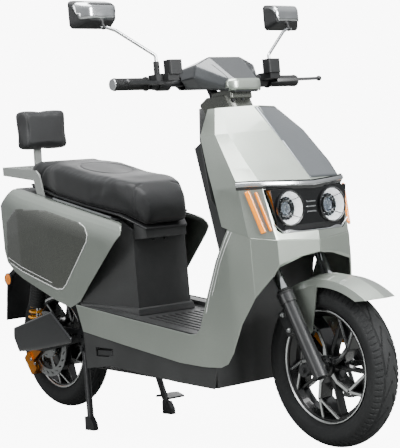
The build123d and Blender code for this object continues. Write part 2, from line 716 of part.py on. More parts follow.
with BuildPart() as swingarm:
    with BuildSketch(side_plane(PLATE_Y - 1)):
        with Locations((PIVOT_X, PIVOT_Z)):
            Circle(16)
    extrude(amount=2 * (PLATE_Y - 1))
    for side in (-1, 1):
        with BuildSketch(side_plane(side * ARM_Y + ARM_THICK / 2)):
            with BuildLine():
                Polyline((PIVOT_X + 6, PIVOT_Z + 18), (SHOCK_LOWER_X + 30, SHOCK_LOWER_Z + 4),
                         (SHOCK_LOWER_X + 12, SHOCK_LOWER_Z + 13), (SHOCK_LOWER_X - 12, SHOCK_LOWER_Z + 13),
                         (REAR_AXLE_X - 26, TYRE_R + REAR_LIFT + 16),
                         (REAR_AXLE_X - 30, TYRE_R + REAR_LIFT - 20),
                         (REAR_AXLE_X + 16, TYRE_R + REAR_LIFT - 22), (PIVOT_X - 8, PIVOT_Z - 17),
                         close=True)
            make_face()
        extrude(amount=ARM_THICK)
        with BuildSketch(side_plane(side * ARM_Y)):
            with Locations((SHOCK_LOWER_X, SHOCK_LOWER_Z)):
                Circle(SHOCK_PIN_R)
        extrude(amount=-side * 42)
    with BuildSketch(wheel_plane(REAR_AXLE, ARM_Y + 20)):
        Circle(AXLE_R)
    extrude(amount=2 * ARM_Y + 40)
    with BuildSketch(side_plane(PLATE_Y)):
        with Locations((PIVOT_X, PIVOT_Z)):
            Circle(PIVOT_R + RUNNING)
    extrude(amount=2 * PLATE_Y, mode=Mode.SUBTRACT)
save(swingarm.part, "swingarm")

COVER_Y = 154.0
with BuildPart() as swingarm_cover:
    with BuildSketch(side_plane(-COVER_Y)):
        with BuildLine():
            Polyline((-757, 330), (-500, 393), (-385, 300), (-392, 280), (-619, 249), (-733, 240),
                     (-762, 292),
                     close=True)
        make_face()
    with BuildSketch(side_plane(-COVER_Y - 8)):
        with BuildLine():
            Polyline((-748, 326), (-503, 384), (-394, 297), (-399, 287), (-619, 259), (-728, 250),
                     (-752, 294),
                     close=True)
        make_face()
    loft(ruled=True)
    for x, z in ((REAR_AXLE_X, TYRE_R + REAR_LIFT + 24), (PIVOT_X - 44, PIVOT_Z + 4)):
        with BuildSketch(side_plane(-ARM_Y - ARM_THICK / 2)):
            with Locations((x, z)):
                Circle(7)
        extrude(amount=COVER_Y - ARM_Y - ARM_THICK / 2)
save(swingarm_cover.part, "swingarm_cover")

with BuildPart() as rear_caliper:
    add(caliper(REAR_AXLE, 215, -REAR_DISC_Y + DISC_THICK / 2, REAR_DISC_R))
    with BuildSketch(side_plane(-REAR_DISC_Y - 9)):
        with BuildLine():
            Polyline((REAR_AXLE_X - 96, TYRE_R - 36), (REAR_AXLE_X - 112, TYRE_R),
                     (REAR_AXLE_X - 24, TYRE_R + 50),
                     (REAR_AXLE_X - 12, TYRE_R + 18), close=True)
        make_face()
    extrude(amount=2.6)
save(rear_caliper.part, "rear_caliper")


def shock_plane(side, distance):
    """Plane across a shock absorber, a distance below its top eye, facing down its length."""
    lean = radians(SHOCK_LEAN)
    down = Vector(-sin(lean), 0, -cos(lean))
    origin = SHOCK_TOP + Vector(0, side * SHOCK_Y, 0) + down * distance
    return Plane(origin=origin, x_dir=(0, 1, 0), z_dir=down)


SHOCK_BODY_LENGTH = 120.0
with BuildPart() as shock_tops:
    for side in (-1, 1):
        with BuildSketch(side_plane(side * SHOCK_Y + 10)):
            with Locations((SHOCK_TOP.X, SHOCK_TOP.Z)):
                Circle(13)
        extrude(amount=20)
        with BuildSketch(shock_plane(side, 11)):
            Circle(SHOCK_BODY_R)
        extrude(amount=SHOCK_BODY_LENGTH - 11)
        with BuildSketch(shock_plane(side, 14)):
            Circle(SPRING_R + 1)
        extrude(amount=5)
    for side in (-1, 1):
        with BuildSketch(shock_plane(side, 30)):
            Circle(SHOCK_ROD_R + RUNNING)
        extrude(amount=SHOCK_BODY_LENGTH, mode=Mode.SUBTRACT)
        with BuildSketch(side_plane(side * SHOCK_Y + 11)):
            with Locations((SHOCK_TOP.X, SHOCK_TOP.Z)):
                Circle(SHOCK_PIN_R + RUNNING)
        extrude(amount=22, mode=Mode.SUBTRACT)
save(shock_tops.part, "shock_tops")

with BuildPart() as shock_rods:
    for side in (-1, 1):
        with BuildSketch(shock_plane(side, SHOCK_BODY_LENGTH - 38)):
            Circle(SHOCK_ROD_R)
        extrude(amount=SHOCK_LENGTH - SHOCK_BODY_LENGTH + 38)
        with BuildSketch(shock_plane(side, SHOCK_LENGTH - 22)):
            Circle(SPRING_R + 1)
        extrude(amount=5)
        with BuildSketch(side_plane(side * SHOCK_Y + 10)):
            with Locations((SHOCK_LOWER_X, SHOCK_LOWER_Z)):
                Circle(14)
        extrude(amount=20)
    for side in (-1, 1):
        with BuildSketch(side_plane(side * SHOCK_Y + 11)):
            with Locations((SHOCK_LOWER_X, SHOCK_LOWER_Z)):
                Circle(SHOCK_PIN_R + 1.5)
        extrude(amount=22, mode=Mode.SUBTRACT)
save(shock_rods.part, "shock_rods")

with BuildPart() as shock_springs:
    for side in (-1, 1):
        with BuildSketch(shock_plane(side, 19.4)):
            Circle(SPRING_R)
            Circle(SPRING_R - SPRING_WIRE, mode=Mode.SUBTRACT)
        extrude(amount=SHOCK_LENGTH - 22 - 19.8)
save(shock_springs.part, "shock_springs")

# ======== stand and pillion footpegs

with BuildPart() as centre_stand:
    for side in (-1, 1):
        top = Vector(STAND_X, side * STAND_TOP_Y, STAND_Z)
        foot = Vector(STAND_FOOT_X, side * STAND_FOOT_Y, 16)
        with BuildSketch(bar_plane(top, foot)):
            Circle(11)
        extrude(amount=length_between(top, foot))
        with BuildSketch(side_plane(side * (PLATE_Y + PLATE_THICK + 13) + 12)):
            with Locations((STAND_X, STAND_Z)):
                Circle(14)
        extrude(amount=24)
        with BuildSketch(side_plane(side * STAND_FOOT_Y + 9)):
            with BuildLine():
                Polyline((STAND_FOOT_X - 22, 44), (STAND_FOOT_X + 10, 44), (STAND_FOOT_X + 26, 20),
                         (STAND_FOOT_X + 26, 0), (STAND_FOOT_X - 24, 0), close=True)
            make_face()
        extrude(amount=18)
    with BuildSketch(side_plane(STAND_TOP_Y + 3)):
        with Locations((STAND_X + 8, STAND_Z - 46)):
            Circle(8)
    extrude(amount=2 * STAND_TOP_Y + 6)
    with BuildSketch(side_plane(STAND_FOOT_Y + 62)):
        with BuildLine():
            Polyline((STAND_FOOT_X - 60, 62), (STAND_FOOT_X - 20, 66), (STAND_FOOT_X + 14, 56),
                     (STAND_FOOT_X + 14, 50),
                     (STAND_FOOT_X - 20, 58), (STAND_FOOT_X - 60, 54), close=True)
        make_face()
    extrude(amount=66)
    for side in (-1, 1):
        with BuildSketch(side_plane(side * (PLATE_Y + PLATE_THICK + 13) + 18)):
            with Locations((STAND_X, STAND_Z)):
                Circle(PIVOT_R + RUNNING)
        extrude(amount=36, mode=Mode.SUBTRACT)
save(centre_stand.part, "centre_stand")

PEG_X = -112.0
PEG_Y = BODY_HALF - 15
PEG_Z = 264.0
PEG_PIN_R = 4.0


def footpeg(side):
    """Folding peg, stored along the side; it swings out about an upright pin."""
    with BuildPart() as peg:
        with BuildSketch(Plane.XY.offset(PEG_Z - 8)):
            with Locations((PEG_X, side * PEG_Y)):
                Circle(9)
            with Locations((PEG_X - 38, side * PEG_Y)):
                RectangleRounded(72, 16, 5)
            with Locations((PEG_X, side * PEG_Y)):
                Circle(PEG_PIN_R + RUNNING, mode=Mode.SUBTRACT)
        extrude(amount=16)
    return peg.part


save(footpeg(1), "footpeg_left")
save(footpeg(-1), "footpeg_right")

# ======== body panels


def floor_z(x):
    """Height of the floor's side rim, which rises towards the seat."""
    return 334 + 0.1414 * (307 - x)


FLOOR_DROP = 15.0                   # the foot area lies this far below the side rims
with BuildPart() as floorboard:
    with BuildSketch(side_plane(BODY_HALF - 17)):
        with BuildLine():
            Polyline((312, floor_z(312)), (-276, floor_z(-276)), (-276, floor_z(-276) - FLOOR_DROP - SHELL),
                     (312, floor_z(312) - FLOOR_DROP - SHELL), close=True)
        make_face()
    extrude(amount=2 * (BODY_HALF - 17))
    with BuildSketch(side_plane(BODY_HALF - 55)):
        with BuildLine():
            Polyline((330, floor_z(330) - FLOOR_DROP), (-290, floor_z(-290) - FLOOR_DROP), (-290, 480),
                     (330, 480),
                     close=True)
        make_face()
    extrude(amount=2 * (BODY_HALF - 55), mode=Mode.SUBTRACT)
    with BuildSketch(Plane.XY.offset(300)):
        with Locations((-215, 0)):
            Rectangle(160, 200)
    extrude(amount=200, mode=Mode.SUBTRACT)
save(floorboard.part, "floorboard")

APRON_PLAN = [
    (668, 0.5), (646, 138), (590, BODY_HALF - 17), (500, BODY_HALF - 1), (300, BODY_HALF), (0, BODY_HALF),
    (-290, BODY_HALF - 5),
]
CREASE = [(672, 580), (646, 592), (590, 604), (511, 632), (480, 644)]
APRON_OUTLINE = [
    *CREASE[:-1], (450, 543), (401, 449), (375, 392), (356, 352), (335, 335),
    (307, 334), (-285, floor_z(-285)), (-254, 330), (247, 249), (363, 240), (434, 241), (466, 252),
    (495, 285),
    (535, 366), (581, 427), (631, 496), (655, 540), (672, 552),
]
apron_inner = [(x - SHELL * 0.9, y - SHELL * 0.9) for x, y in reversed(APRON_PLAN)]
apron_inner[-1] = (APRON_PLAN[0][0] - SHELL, APRON_PLAN[0][1])
apron_inner[0] = (APRON_PLAN[-1][0], APRON_PLAN[-1][1] - SHELL)
apron_left = side_panel(APRON_OUTLINE, APRON_PLAN + apron_inner, (200, 660))
with BuildPart() as side_aprons:
    add(apron_left)
    mirror(about=Plane.XZ)
save(side_aprons.part, "side_aprons")

SKIRT_OUTLINE = [
    (392, 177), (220, 189), (-124, 223), (-250, 212), (-254, 329), (247, 248), (363, 239), (410, 239),
]
RECESS = [(PEG_X + 14, PEG_Z - 12), (PEG_X + 14, PEG_Z + 14), (PEG_X - 80, PEG_Z + 18),
          (PEG_X - 80, PEG_Z - 12)]
with BuildPart() as skirt:
    with BuildSketch(side_plane(BODY_HALF - 5)):
        with BuildLine():
            Polyline(*SKIRT_OUTLINE, close=True)
        make_face()
        with BuildLine():
            Polyline(*RECESS, close=True)
        make_face(mode=Mode.SUBTRACT)
    extrude(amount=SHELL)
    with BuildSketch(Plane.XY.offset(PEG_Z - 12)):
        with Locations((PEG_X + 2, BODY_HALF - 16)):
            Rectangle(24, 22)
    extrude(amount=3.6)
    with BuildSketch(Plane.XY.offset(PEG_Z - 12)):
        with Locations((PEG_X, PEG_Y)):
            Circle(PEG_PIN_R)
    extrude(amount=22)
with BuildPart() as lower_fairing:
    add(skirt.part)
    mirror(about=Plane.XZ)
    with BuildSketch(side_plane(BODY_HALF - 18)):
        with BuildLine():
            Polyline((392, 177), (397, 300), (408, 380), (428, 460), (440, 520), (440 - SHELL, 520),
                     (428 - SHELL, 460), (408 - SHELL, 380), (397 - SHELL, 300), (392 - SHELL, 181),
                     (-240, 218),
                     (-240, 214), close=True)
        make_face()
    extrude(amount=2 * (BODY_HALF - 18))
save(lower_fairing.part, "lower_fairing")


def shield_section(z, rows):
    """Half-hexagon outline across the front: points (x, half width), centre first."""
    left = [(x, y) for x, y in rows[1:]]
    right = [(x, -y) for x, y in reversed(rows[1:])]
    with BuildSketch(Plane.XY.offset(z)) as section:
        with BuildLine():
            Polyline(rows[0], *left, *right, close=True)
        make_face()
    return section.sketch


def shield_solid(inset, back):
    """The shield's filled outer form, or its inside when inset by the wall."""
    rows = {
        SHIELD_FOOT_Z: [(668, 0), (646, 138), (590, 190), (508, 205)],
        BAR_TRIM_Z: [(657, 0), (614, 152), (568, 197), (464, 203)],
        800: [(612, 0), (573, 156), (530, 188), (438, 193)],
        900: [(527, 0), (485, 146), (452, 166), (396, 175)],
        SHIELD_TOP_Z: [(459, 0), (414, 104), (399, 114), (374, 120)],
    }
    with BuildPart() as solid:
        for z, points in rows.items():
            moved = [(x - inset, max(0, y - inset)) for x, y in points]
            moved[-1] = (moved[-1][0] - back, moved[-1][1])
            beyond = {SHIELD_FOOT_Z: -1, SHIELD_TOP_Z: 1}.get(z, 0) if inset else 0
            add(shield_section(z + beyond, moved))
        loft(ruled=True)
    return solid.part


LAMP_OPENING = [(-150, BAR_TRIM_Z - 14), (150, BAR_TRIM_Z - 14), (132, 618), (118, 608), (-118, 608),
                (-132, 618)]


def signal_bar(side, grow):
    """Tall amber blade leaning with the edge of the lamp recess, and a slimmer one inside it."""
    with BuildPart() as blades:
        for start, end, wide in (
            ((590, side * 186, 732), (622, side * 165, 614), 15),
            ((606, side * 168, 728), (634, side * 148, 618), 9),
        ):
            direction = bar_plane(start, end)
            with BuildSketch(Plane(origin=start, x_dir=(0.68, -side * 0.73, 0), z_dir=direction.z_dir)):
                Rectangle(wide + grow, 9 + grow)
            extrude(amount=length_between(start, end) + grow / 2)
    return blades.part


with BuildPart() as front_shield:
    add(shield_solid(0, 0))
    add(shield_solid(SHELL, 30), mode=Mode.SUBTRACT)
    with BuildSketch(front_plane(560, 0, 0)):
        with BuildLine():
            Polyline(*LAMP_OPENING, close=True)
        make_face()
    extrude(amount=130, mode=Mode.SUBTRACT)
    with BuildSketch(side_plane(0)):
        with BuildLine():
            Polyline(*[(x, z + 0.6) for x, z in CREASE], (480, 560), (700, 560), close=True)
        make_face()
    extrude(amount=BODY_HALF + 10, both=True, mode=Mode.SUBTRACT)
    for side in (-1, 1):
        add(signal_bar(side, 1.2), mode=Mode.SUBTRACT)
save(front_shield.part, "front_shield")

with BuildPart() as front_signals:
    for side in (-1, 1):
        add(signal_bar(side, 0))
save(front_signals.part, "front_signals")

with BuildPart() as lamp_housing:
    with BuildSketch(front_plane(618, 0, 0)):
        with BuildLine():
            Polyline(*[(y * 0.97, z - 4 if z > 700 else z + 4) for y, z in LAMP_OPENING], close=True)
        make_face()
    extrude(amount=LAMP_FACE_X - 618)
    for side in (-1, 1):
        with BuildSketch(front_plane(600, side * LAMP_Y, LAMP_Z)):
            Circle(LAMP_R - 2)
        extrude(amount=60, mode=Mode.SUBTRACT)
save(lamp_housing.part, "lamp_housing")

with BuildPart() as headlamps:
    for side in (-1, 1):
        with BuildSketch(front_plane(606, side * LAMP_Y, LAMP_Z)):
            Circle(LAMP_R - 2.5)
        extrude(amount=LAMP_FACE_X - 600)
save(headlamps.part, "headlamps")

with BuildPart() as lamp_trim:
    with BuildSketch(Plane.XY.offset(BAR_TRIM_Z - 10)):
        with BuildLine():
            Polyline((672, 0), (640, 146), (578, 204), (572, 200), (632, 140), (664, 0), (632, -140),
                     (572, -200),
                     (578, -204), (640, -146), close=True)
        make_face()
    extrude(amount=9)
    add(shield_solid(-0.4, 0), mode=Mode.SUBTRACT)
save(lamp_trim.part, "lamp_trim")

KEY_Y = -40.0
KEY_Z = 820.0
KEY_SHAFT_R = 8.0
TUNNEL_REAR = [(296, 324), (318, 560), (232, 929), (214, 985)]
WING_REAR = [(352, 354), (440, 540), (498, 640), (440, 720), (378, 889), (332, 985)]
FORK_REAR = [(344, 354), (395, 540), (408, 620), (404, 740), (394, 816)]
FORK_ROOM = 136.0                   # half width of the space that the fork turns in
key_share = (KEY_Z - TUNNEL_REAR[1][1]) / (TUNNEL_REAR[2][1] - TUNNEL_REAR[1][1])
KEY_AT = Vector(TUNNEL_REAR[1][0] + key_share * (TUNNEL_REAR[2][0] - TUNNEL_REAR[1][0]), KEY_Y, KEY_Z)
wall_lean = atan2(TUNNEL_REAR[1][0] - TUNNEL_REAR[2][0], TUNNEL_REAR[2][1] - TUNNEL_REAR[1][1])
KEY_AXIS = Vector(-cos(wall_lean), 0, -sin(wall_lean))

with BuildPart() as leg_shield:
    with BuildSketch(side_plane(BODY_HALF)):
        with BuildLine():
            Polyline(*WING_REAR, *[(x + SHELL, z) for x, z in reversed(WING_REAR)], close=True)
        make_face()
    extrude(amount=2 * BODY_HALF)
    with BuildSketch(Plane.YZ):
        with BuildLine():
            Polyline((-196, 340), (-194, 640), (-194, 720), (-164, 889), (-116, 990), (116, 990),
                     (164, 889),
                     (194, 720), (194, 640), (196, 340), close=True)
        make_face()
    extrude(amount=600, mode=Mode.INTERSECT)
    with BuildSketch(side_plane(78)):
        with BuildLine():
            Polyline(*TUNNEL_REAR, *[(x + 1, z) for x, z in reversed(WING_REAR)], close=True)
        make_face()
    extrude(amount=156)
    with BuildSketch(side_plane(FORK_ROOM)):
        with BuildLine():
            Polyline(*FORK_REAR, *[(x + 1, z) for x, z in reversed(WING_REAR[:-1])], close=True)
        make_face()
    extrude(amount=2 * FORK_ROOM)
    with BuildSketch(side_plane(FORK_ROOM - SHELL)):
        with BuildLine():
            Polyline(*[(x + SHELL, z + (SHELL if z < 400 else -SHELL if z > 800 else 0)) for x,
                       z in FORK_REAR],
                     (600, 810), (600, 356), close=True)
        make_face()
    extrude(amount=2 * (FORK_ROOM - SHELL), mode=Mode.SUBTRACT)
    with BuildSketch(side_plane(78 - SHELL)):
        with BuildLine():
            Polyline(*[(x + SHELL, z) for x, z in TUNNEL_REAR], (232, 1000), (600, 1000), (600, 310),
                     (300, 310),
                     close=True)
        make_face()
    extrude(amount=2 * (78 - SHELL), mode=Mode.SUBTRACT)
    with BuildSketch(fork_plane(NECK_FOOT - 8, u=0)):
        Circle(116)
    extrude(amount=240, mode=Mode.SUBTRACT)
    with BuildSketch(Plane(origin=KEY_AT - KEY_AXIS * 20, z_dir=KEY_AXIS)):
        Circle(KEY_SHAFT_R + RUNNING)
    extrude(amount=40, mode=Mode.SUBTRACT)
save(leg_shield.part, "leg_shield")

with BuildPart() as key_switch:
    with BuildSketch(Plane(origin=KEY_AT - KEY_AXIS * 18, z_dir=KEY_AXIS)):
        Circle(KEY_SHAFT_R)
    extrude(amount=20)
    with BuildSketch(Plane(origin=KEY_AT + KEY_AXIS * 0.5, z_dir=KEY_AXIS)):
        Circle(14)
    extrude(amount=7)
    with BuildSketch(Plane(origin=KEY_AT + KEY_AXIS * 7, x_dir=(0, 1, 0), z_dir=KEY_AXIS)):
        Rectangle(24, 4)
    extrude(amount=22)
save(key_switch.part, "key_switch")

# ======== seat, its box and the tail


def seat_base_z(x):
    """Height of the seat's underside: a level rise to the rear, dropping at the nose."""
    rear = 688 + 0.2425 * (-97 - x)
    return rear if x < -110 else 691 - (x + 110) * 0.6


SEAT_FRONT_X = -25.0
SEAT_BACK_X = -640.0
HINGE_X = -56.0
HINGE_Z = 622.0
HINGE_PIN_R = 4.0
BOX_DROP = 14.0                     # the box's rim lies this far below the seat
BUCKET_HALF = 90.0
BUCKET_REAR = -424.0
BUCKET_FLOOR = 404.0
SEAT_PLAN = [(-25, 86), (-110, 132), (-250, 147), (-440, 147), (-500, 134), (-600, 126), (-640, 108)]
SEAT_TOP = [(-640, 846), (-628, 884), (-573, 894), (-400, 864), (-250, 824), (-144, 806), (-60, 782),
            (-20, 748),
            (-3, 700), (-12, 660)]
BASE_STATIONS = (SEAT_BACK_X, -110, SEAT_FRONT_X)


def seat_plan(inset):
    outline = [(x, y - inset) for x, y in SEAT_PLAN]
    return outline + [(x, -y) for x, y in reversed(outline)]


with BuildPart() as seat_pan:
    with BuildSketch(side_plane(160)):
        with BuildLine():
            Polyline(*[(x, seat_base_z(x)) for x in BASE_STATIONS],
                     *[(x, seat_base_z(x) + 6) for x in reversed(BASE_STATIONS)], close=True)
        make_face()
    extrude(amount=320)
    with BuildSketch(Plane.XY.offset(500)):
        with BuildLine():
            Polyline(*seat_plan(4), close=True)
        make_face()
    extrude(amount=500, mode=Mode.INTERSECT)
    with BuildSketch(side_plane(18)):
        with Locations((HINGE_X, HINGE_Z)):
            Circle(9)
        with BuildLine():
            Polyline((HINGE_X - 7, HINGE_Z), (HINGE_X + 7, HINGE_Z),
                     (HINGE_X + 7, seat_base_z(HINGE_X + 7) + 1),
                     (HINGE_X - 7, seat_base_z(HINGE_X - 7) + 1), close=True)
        make_face()
        with Locations((HINGE_X, HINGE_Z)):
            Circle(HINGE_PIN_R + RUNNING, mode=Mode.SUBTRACT)
    extrude(amount=36)
save(seat_pan.part, "seat_pan")

with BuildPart() as seat_cushion:
    with BuildSketch(side_plane(160)):
        with BuildLine():
            Polyline(*SEAT_TOP, *[(x, seat_base_z(x) + 6.3) for x in reversed(BASE_STATIONS)], close=True)
        make_face()
    extrude(amount=320)
    with BuildSketch(Plane.XY.offset(500)):
        with BuildLine():
            Polyline((-3, 70), *seat_plan(0), (-3, -70), close=True)
        make_face()
    extrude(amount=500, mode=Mode.INTERSECT)
save(seat_cushion.part, "seat_cushion")

with BuildPart() as seat_box:
    with BuildSketch(Plane.XY.offset(380)):
        with BuildLine():
            Polyline((-262, 187), (-120, 122), (-70, 104), (-70, -104), (-120, -122), (-262, -187),
                     (-262, -183),
                     (-121, -117), (-74, -100), (-74, 100), (-121, 117), (-262, 183), close=True)
        make_face()
    extrude(amount=400)
    with BuildSketch(Plane.XY.offset(BUCKET_FLOOR - 4)):
        with Locations(((BUCKET_REAR - 73) / 2, 0)):
            Rectangle(-73 - BUCKET_REAR, 2 * BUCKET_HALF)
    extrude(amount=400)
    with BuildSketch(side_plane(200)):
        with BuildLine():
            Polyline((-60, floor_z(-60) + 1), (-262, floor_z(-262) + 1), (-262, BUCKET_FLOOR - 4),
                     (BUCKET_REAR, BUCKET_FLOOR - 4), (BUCKET_REAR, seat_base_z(BUCKET_REAR) - BOX_DROP),
                     (-110, seat_base_z(-111) - BOX_DROP), (-60, seat_base_z(-60) - BOX_DROP - 12),
                     close=True)
        make_face()
    extrude(amount=400, mode=Mode.INTERSECT)
    with BuildSketch(Plane.XY.offset(BUCKET_FLOOR)):
        with Locations(((BUCKET_REAR - 73) / 2, 0)):
            Rectangle(-73 - BUCKET_REAR - 7, 2 * BUCKET_HALF - 7)
    extrude(amount=400, mode=Mode.SUBTRACT)
    for side in (-1, 1):
        with BuildSketch(side_plane(side * 165 + 37)):
            with BuildLine():
                Polyline((-60, seat_base_z(-60) - 50), (-280, seat_base_z(-280) - 62), (-280, 800),
                         (-60, 800),
                         close=True)
            make_face()
        extrude(amount=74, mode=Mode.SUBTRACT)
        with BuildSketch(side_plane(side * 23 + 4)):
            with BuildLine():
                Polyline((-71, HINGE_Z - 20), (HINGE_X, HINGE_Z - 8), (HINGE_X + 8, HINGE_Z),
                         (HINGE_X, HINGE_Z + 8),
                         (-71, HINGE_Z + 8), close=True)
            make_face()
        extrude(amount=8)
    with BuildSketch(side_plane(27)):
        with Locations((HINGE_X, HINGE_Z)):
            Circle(HINGE_PIN_R)
    extrude(amount=54)
save(seat_box.part, "seat_box")

PANEL_OUTLINE = [
    (-34, 632), (-36, 646), (-46, 660), (-90, 684), (-130, 720), (-540, 800), (-662, 812), (-745, 760), (-745, 600), (-727, 560),
    (-668, 528), (-361, 419), (-318, 407), (-262, 426),
]
PANEL_HALF = {-30: 186, -200: 198, -400: 203, -600: 197, -745: 172}


def panel_section(x, half, side):
    """Wall of one side panel at one station: a sloping shoulder above an upright flank."""
    top = seat_base_z(x) - 8 if x < -110 else 663
    wide = half - 152
    turns = [radians(a) for a in range(90, -1, -15)]
    outer = [(152 + wide * cos(a), top - 74 + 74 * sin(a)) for a in turns]
    inner = [(152 + (wide - 3.5) * cos(a), top - 78 + 74 * sin(a)) for a in reversed(turns)]
    outline = [*outer, (half - 3, 395), (half - 7, 395), *inner]
    with BuildSketch(front_plane(x, 0, 0)) as section:
        with BuildLine():
            Polyline(*[(side * y, z) for y, z in outline], close=True)
        make_face()
    return section.sketch


def rear_panel(side):
    """One side panel: its sections lofted along the body and cut to the side outline."""
    with BuildPart() as flank:
        for x, half in PANEL_HALF.items():
            add(panel_section(x, half, side))
        loft(ruled=True)
        with BuildSketch(side_plane(0)):
            with BuildLine():
                Polyline(*PANEL_OUTLINE, close=True)
            make_face()
        extrude(amount=BODY_HALF + 5, both=True, mode=Mode.INTERSECT)
    return flank.part


with BuildPart() as rear_panels:
    add(rear_panel(1))
    add(rear_panel(-1))
    with BuildSketch(front_plane(-749, 0, 0)):
        with Locations((0, 660)):
            RectangleRounded(336, 150, 30)
    extrude(amount=3.5)
save(rear_panels.part, "rear_panels")

GRAB_Y = 146.0
GRAB_THICK = 6.0
GRAB_REAR_X = -750.0
with BuildPart() as grab_rail:
    for side in (-1, 1):
        with BuildSketch(side_plane(side * (GRAB_Y - GRAB_THICK / 2) + GRAB_THICK / 2)):
            with BuildLine():
                Polyline((-500, 612), (-530, 612), (-532, 756), (-556, 833), (GRAB_REAR_X + 1, 862),
                         (GRAB_REAR_X + 1, 892), (-538, 866), (-520, 850), (-500, 780), close=True)
            make_face()
        extrude(amount=GRAB_THICK)
        with Locations((-515, side * 120, 615)):
            Box(30, 42, 6)
    with Locations((GRAB_REAR_X + GRAB_THICK / 2, 0, 877)):
        Box(GRAB_THICK, 2 * GRAB_Y, 30)
    with BuildSketch(side_plane(15)):
        with BuildLine():
            Polyline((-750, 880), (-743, 880), (-736, 1045), (-743, 1045), close=True)
        make_face()
    extrude(amount=30)
save(grab_rail.part, "grab_rail")

PAD_DEPTH = 60.0
PAD_WIDE = 196.0
PAD_HIGH = 142.0
with BuildPart() as backrest_pad:
    with Locations((-735.6 + PAD_DEPTH / 2, 0, 1015)):
        Box(PAD_DEPTH, PAD_WIDE, PAD_HIGH)
    fillet(backrest_pad.edges(), radius=16)
save(backrest_pad.part, "backrest_pad")

GUARD_HALF = 90.0
GUARD_LINE = [(-640, 584), (-800, 548), (-872, 512), (-886, 480), (-912, 345)]
with BuildPart() as rear_mudguard:
    with BuildSketch(side_plane(GUARD_HALF)):
        with BuildLine():
            Polyline(*GUARD_LINE, *[(x + 3.5, z - 1) for x, z in reversed(GUARD_LINE)], close=True)
        make_face()
    extrude(amount=2 * GUARD_HALF)
    for edge in (GUARD_HALF, 3 - GUARD_HALF):
        with BuildSketch(side_plane(edge)):
            with BuildLine():
                Polyline((-700, 575), (-800, 548), (-872, 512), (-886, 480), (-900, 410), (-876, 470),
                         (-860, 500), (-796, 530), (-700, 552), close=True)
            make_face()
        extrude(amount=3)
save(rear_mudguard.part, "rear_mudguard")

with BuildPart() as rear_lamps:
    with Locations((-753.5, 0, 630)):
        Box(8, 130, 40)
    for side in (-1, 1):
        with BuildSketch(side_plane(side * (GUARD_HALF + 0.4))):
            with Locations((-868, 494)):
                Circle(22)
        extrude(amount=-side * 8)
save(rear_lamps.part, "rear_lamps")
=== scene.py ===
"""Electric moped scooter on its centre stand: its looks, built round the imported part."""
import math

import bmesh
import bpy
from mathutils import Matrix, Vector
from mathutils.bvhtree import BVHTree


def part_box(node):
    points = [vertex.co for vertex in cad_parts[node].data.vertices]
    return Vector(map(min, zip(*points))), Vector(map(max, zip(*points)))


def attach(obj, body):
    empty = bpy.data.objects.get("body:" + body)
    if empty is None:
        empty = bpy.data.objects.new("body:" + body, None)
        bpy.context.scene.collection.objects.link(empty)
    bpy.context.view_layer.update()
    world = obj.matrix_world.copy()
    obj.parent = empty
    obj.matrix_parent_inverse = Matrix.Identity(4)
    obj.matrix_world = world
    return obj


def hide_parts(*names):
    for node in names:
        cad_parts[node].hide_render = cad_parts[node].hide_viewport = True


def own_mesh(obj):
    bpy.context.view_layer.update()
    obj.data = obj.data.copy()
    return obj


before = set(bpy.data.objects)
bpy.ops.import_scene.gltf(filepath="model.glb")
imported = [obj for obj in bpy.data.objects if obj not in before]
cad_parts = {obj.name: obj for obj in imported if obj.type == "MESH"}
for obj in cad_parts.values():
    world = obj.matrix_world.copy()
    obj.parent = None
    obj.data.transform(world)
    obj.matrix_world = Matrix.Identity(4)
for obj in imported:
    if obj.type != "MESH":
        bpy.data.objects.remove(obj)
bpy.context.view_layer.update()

# ---- Camera, floor and lights
# A long lens from low on the rider's right front, as in a catalogue picture. The floor is pale
# seamless paper, and large soft boxes above and beside it give long, even highlights on the paint.
CAMERA_AT = (3.4852, -2.6846, 0.7313)
CAMERA_YAW = 2.4649
CAMERA_PITCH = -0.0200
CAMERA_ROLL = -0.0882
CAMERA_LENS = 111.9


def linear(code):
    """An sRGB hex colour as the linear values that a shader takes."""
    values = [int(code[i:i + 2], 16) / 255 for i in (1, 3, 5)]
    return (*[v / 12.92 if v <= 0.04045 else ((v + 0.055) / 1.055) ** 2.4 for v in values], 1.0)


def add_node(tree, kind, inputs=None, **settings):
    """One node with its settings, and with its inputs set or linked."""
    node = tree.nodes.new(kind)
    for key, value in settings.items():
        setattr(node, key, value)
    for socket, value in (inputs or {}).items():
        if isinstance(value, bpy.types.NodeSocket):
            tree.links.new(value, node.inputs[socket])
        else:
            node.inputs[socket].default_value = value
    return node


def link(thing):
    bpy.context.scene.collection.objects.link(thing)
    return thing


forward = Vector((
    math.cos(CAMERA_PITCH) * math.cos(CAMERA_YAW),
    math.cos(CAMERA_PITCH) * math.sin(CAMERA_YAW),
    math.sin(CAMERA_PITCH),
))
level = forward.cross(Vector((0, 0, 1))).normalized()
upward = level.cross(forward)
right = level * math.cos(CAMERA_ROLL) + upward * math.sin(CAMERA_ROLL)
up = upward * math.cos(CAMERA_ROLL) - level * math.sin(CAMERA_ROLL)
camera_data = bpy.data.cameras.new("camera")
camera_data.lens = CAMERA_LENS
camera = link(bpy.data.objects.new("camera", camera_data))
camera.matrix_world = Matrix.Translation(CAMERA_AT) @ Matrix((right, up, -forward)).transposed().to_4x4()
bpy.context.scene.camera = camera

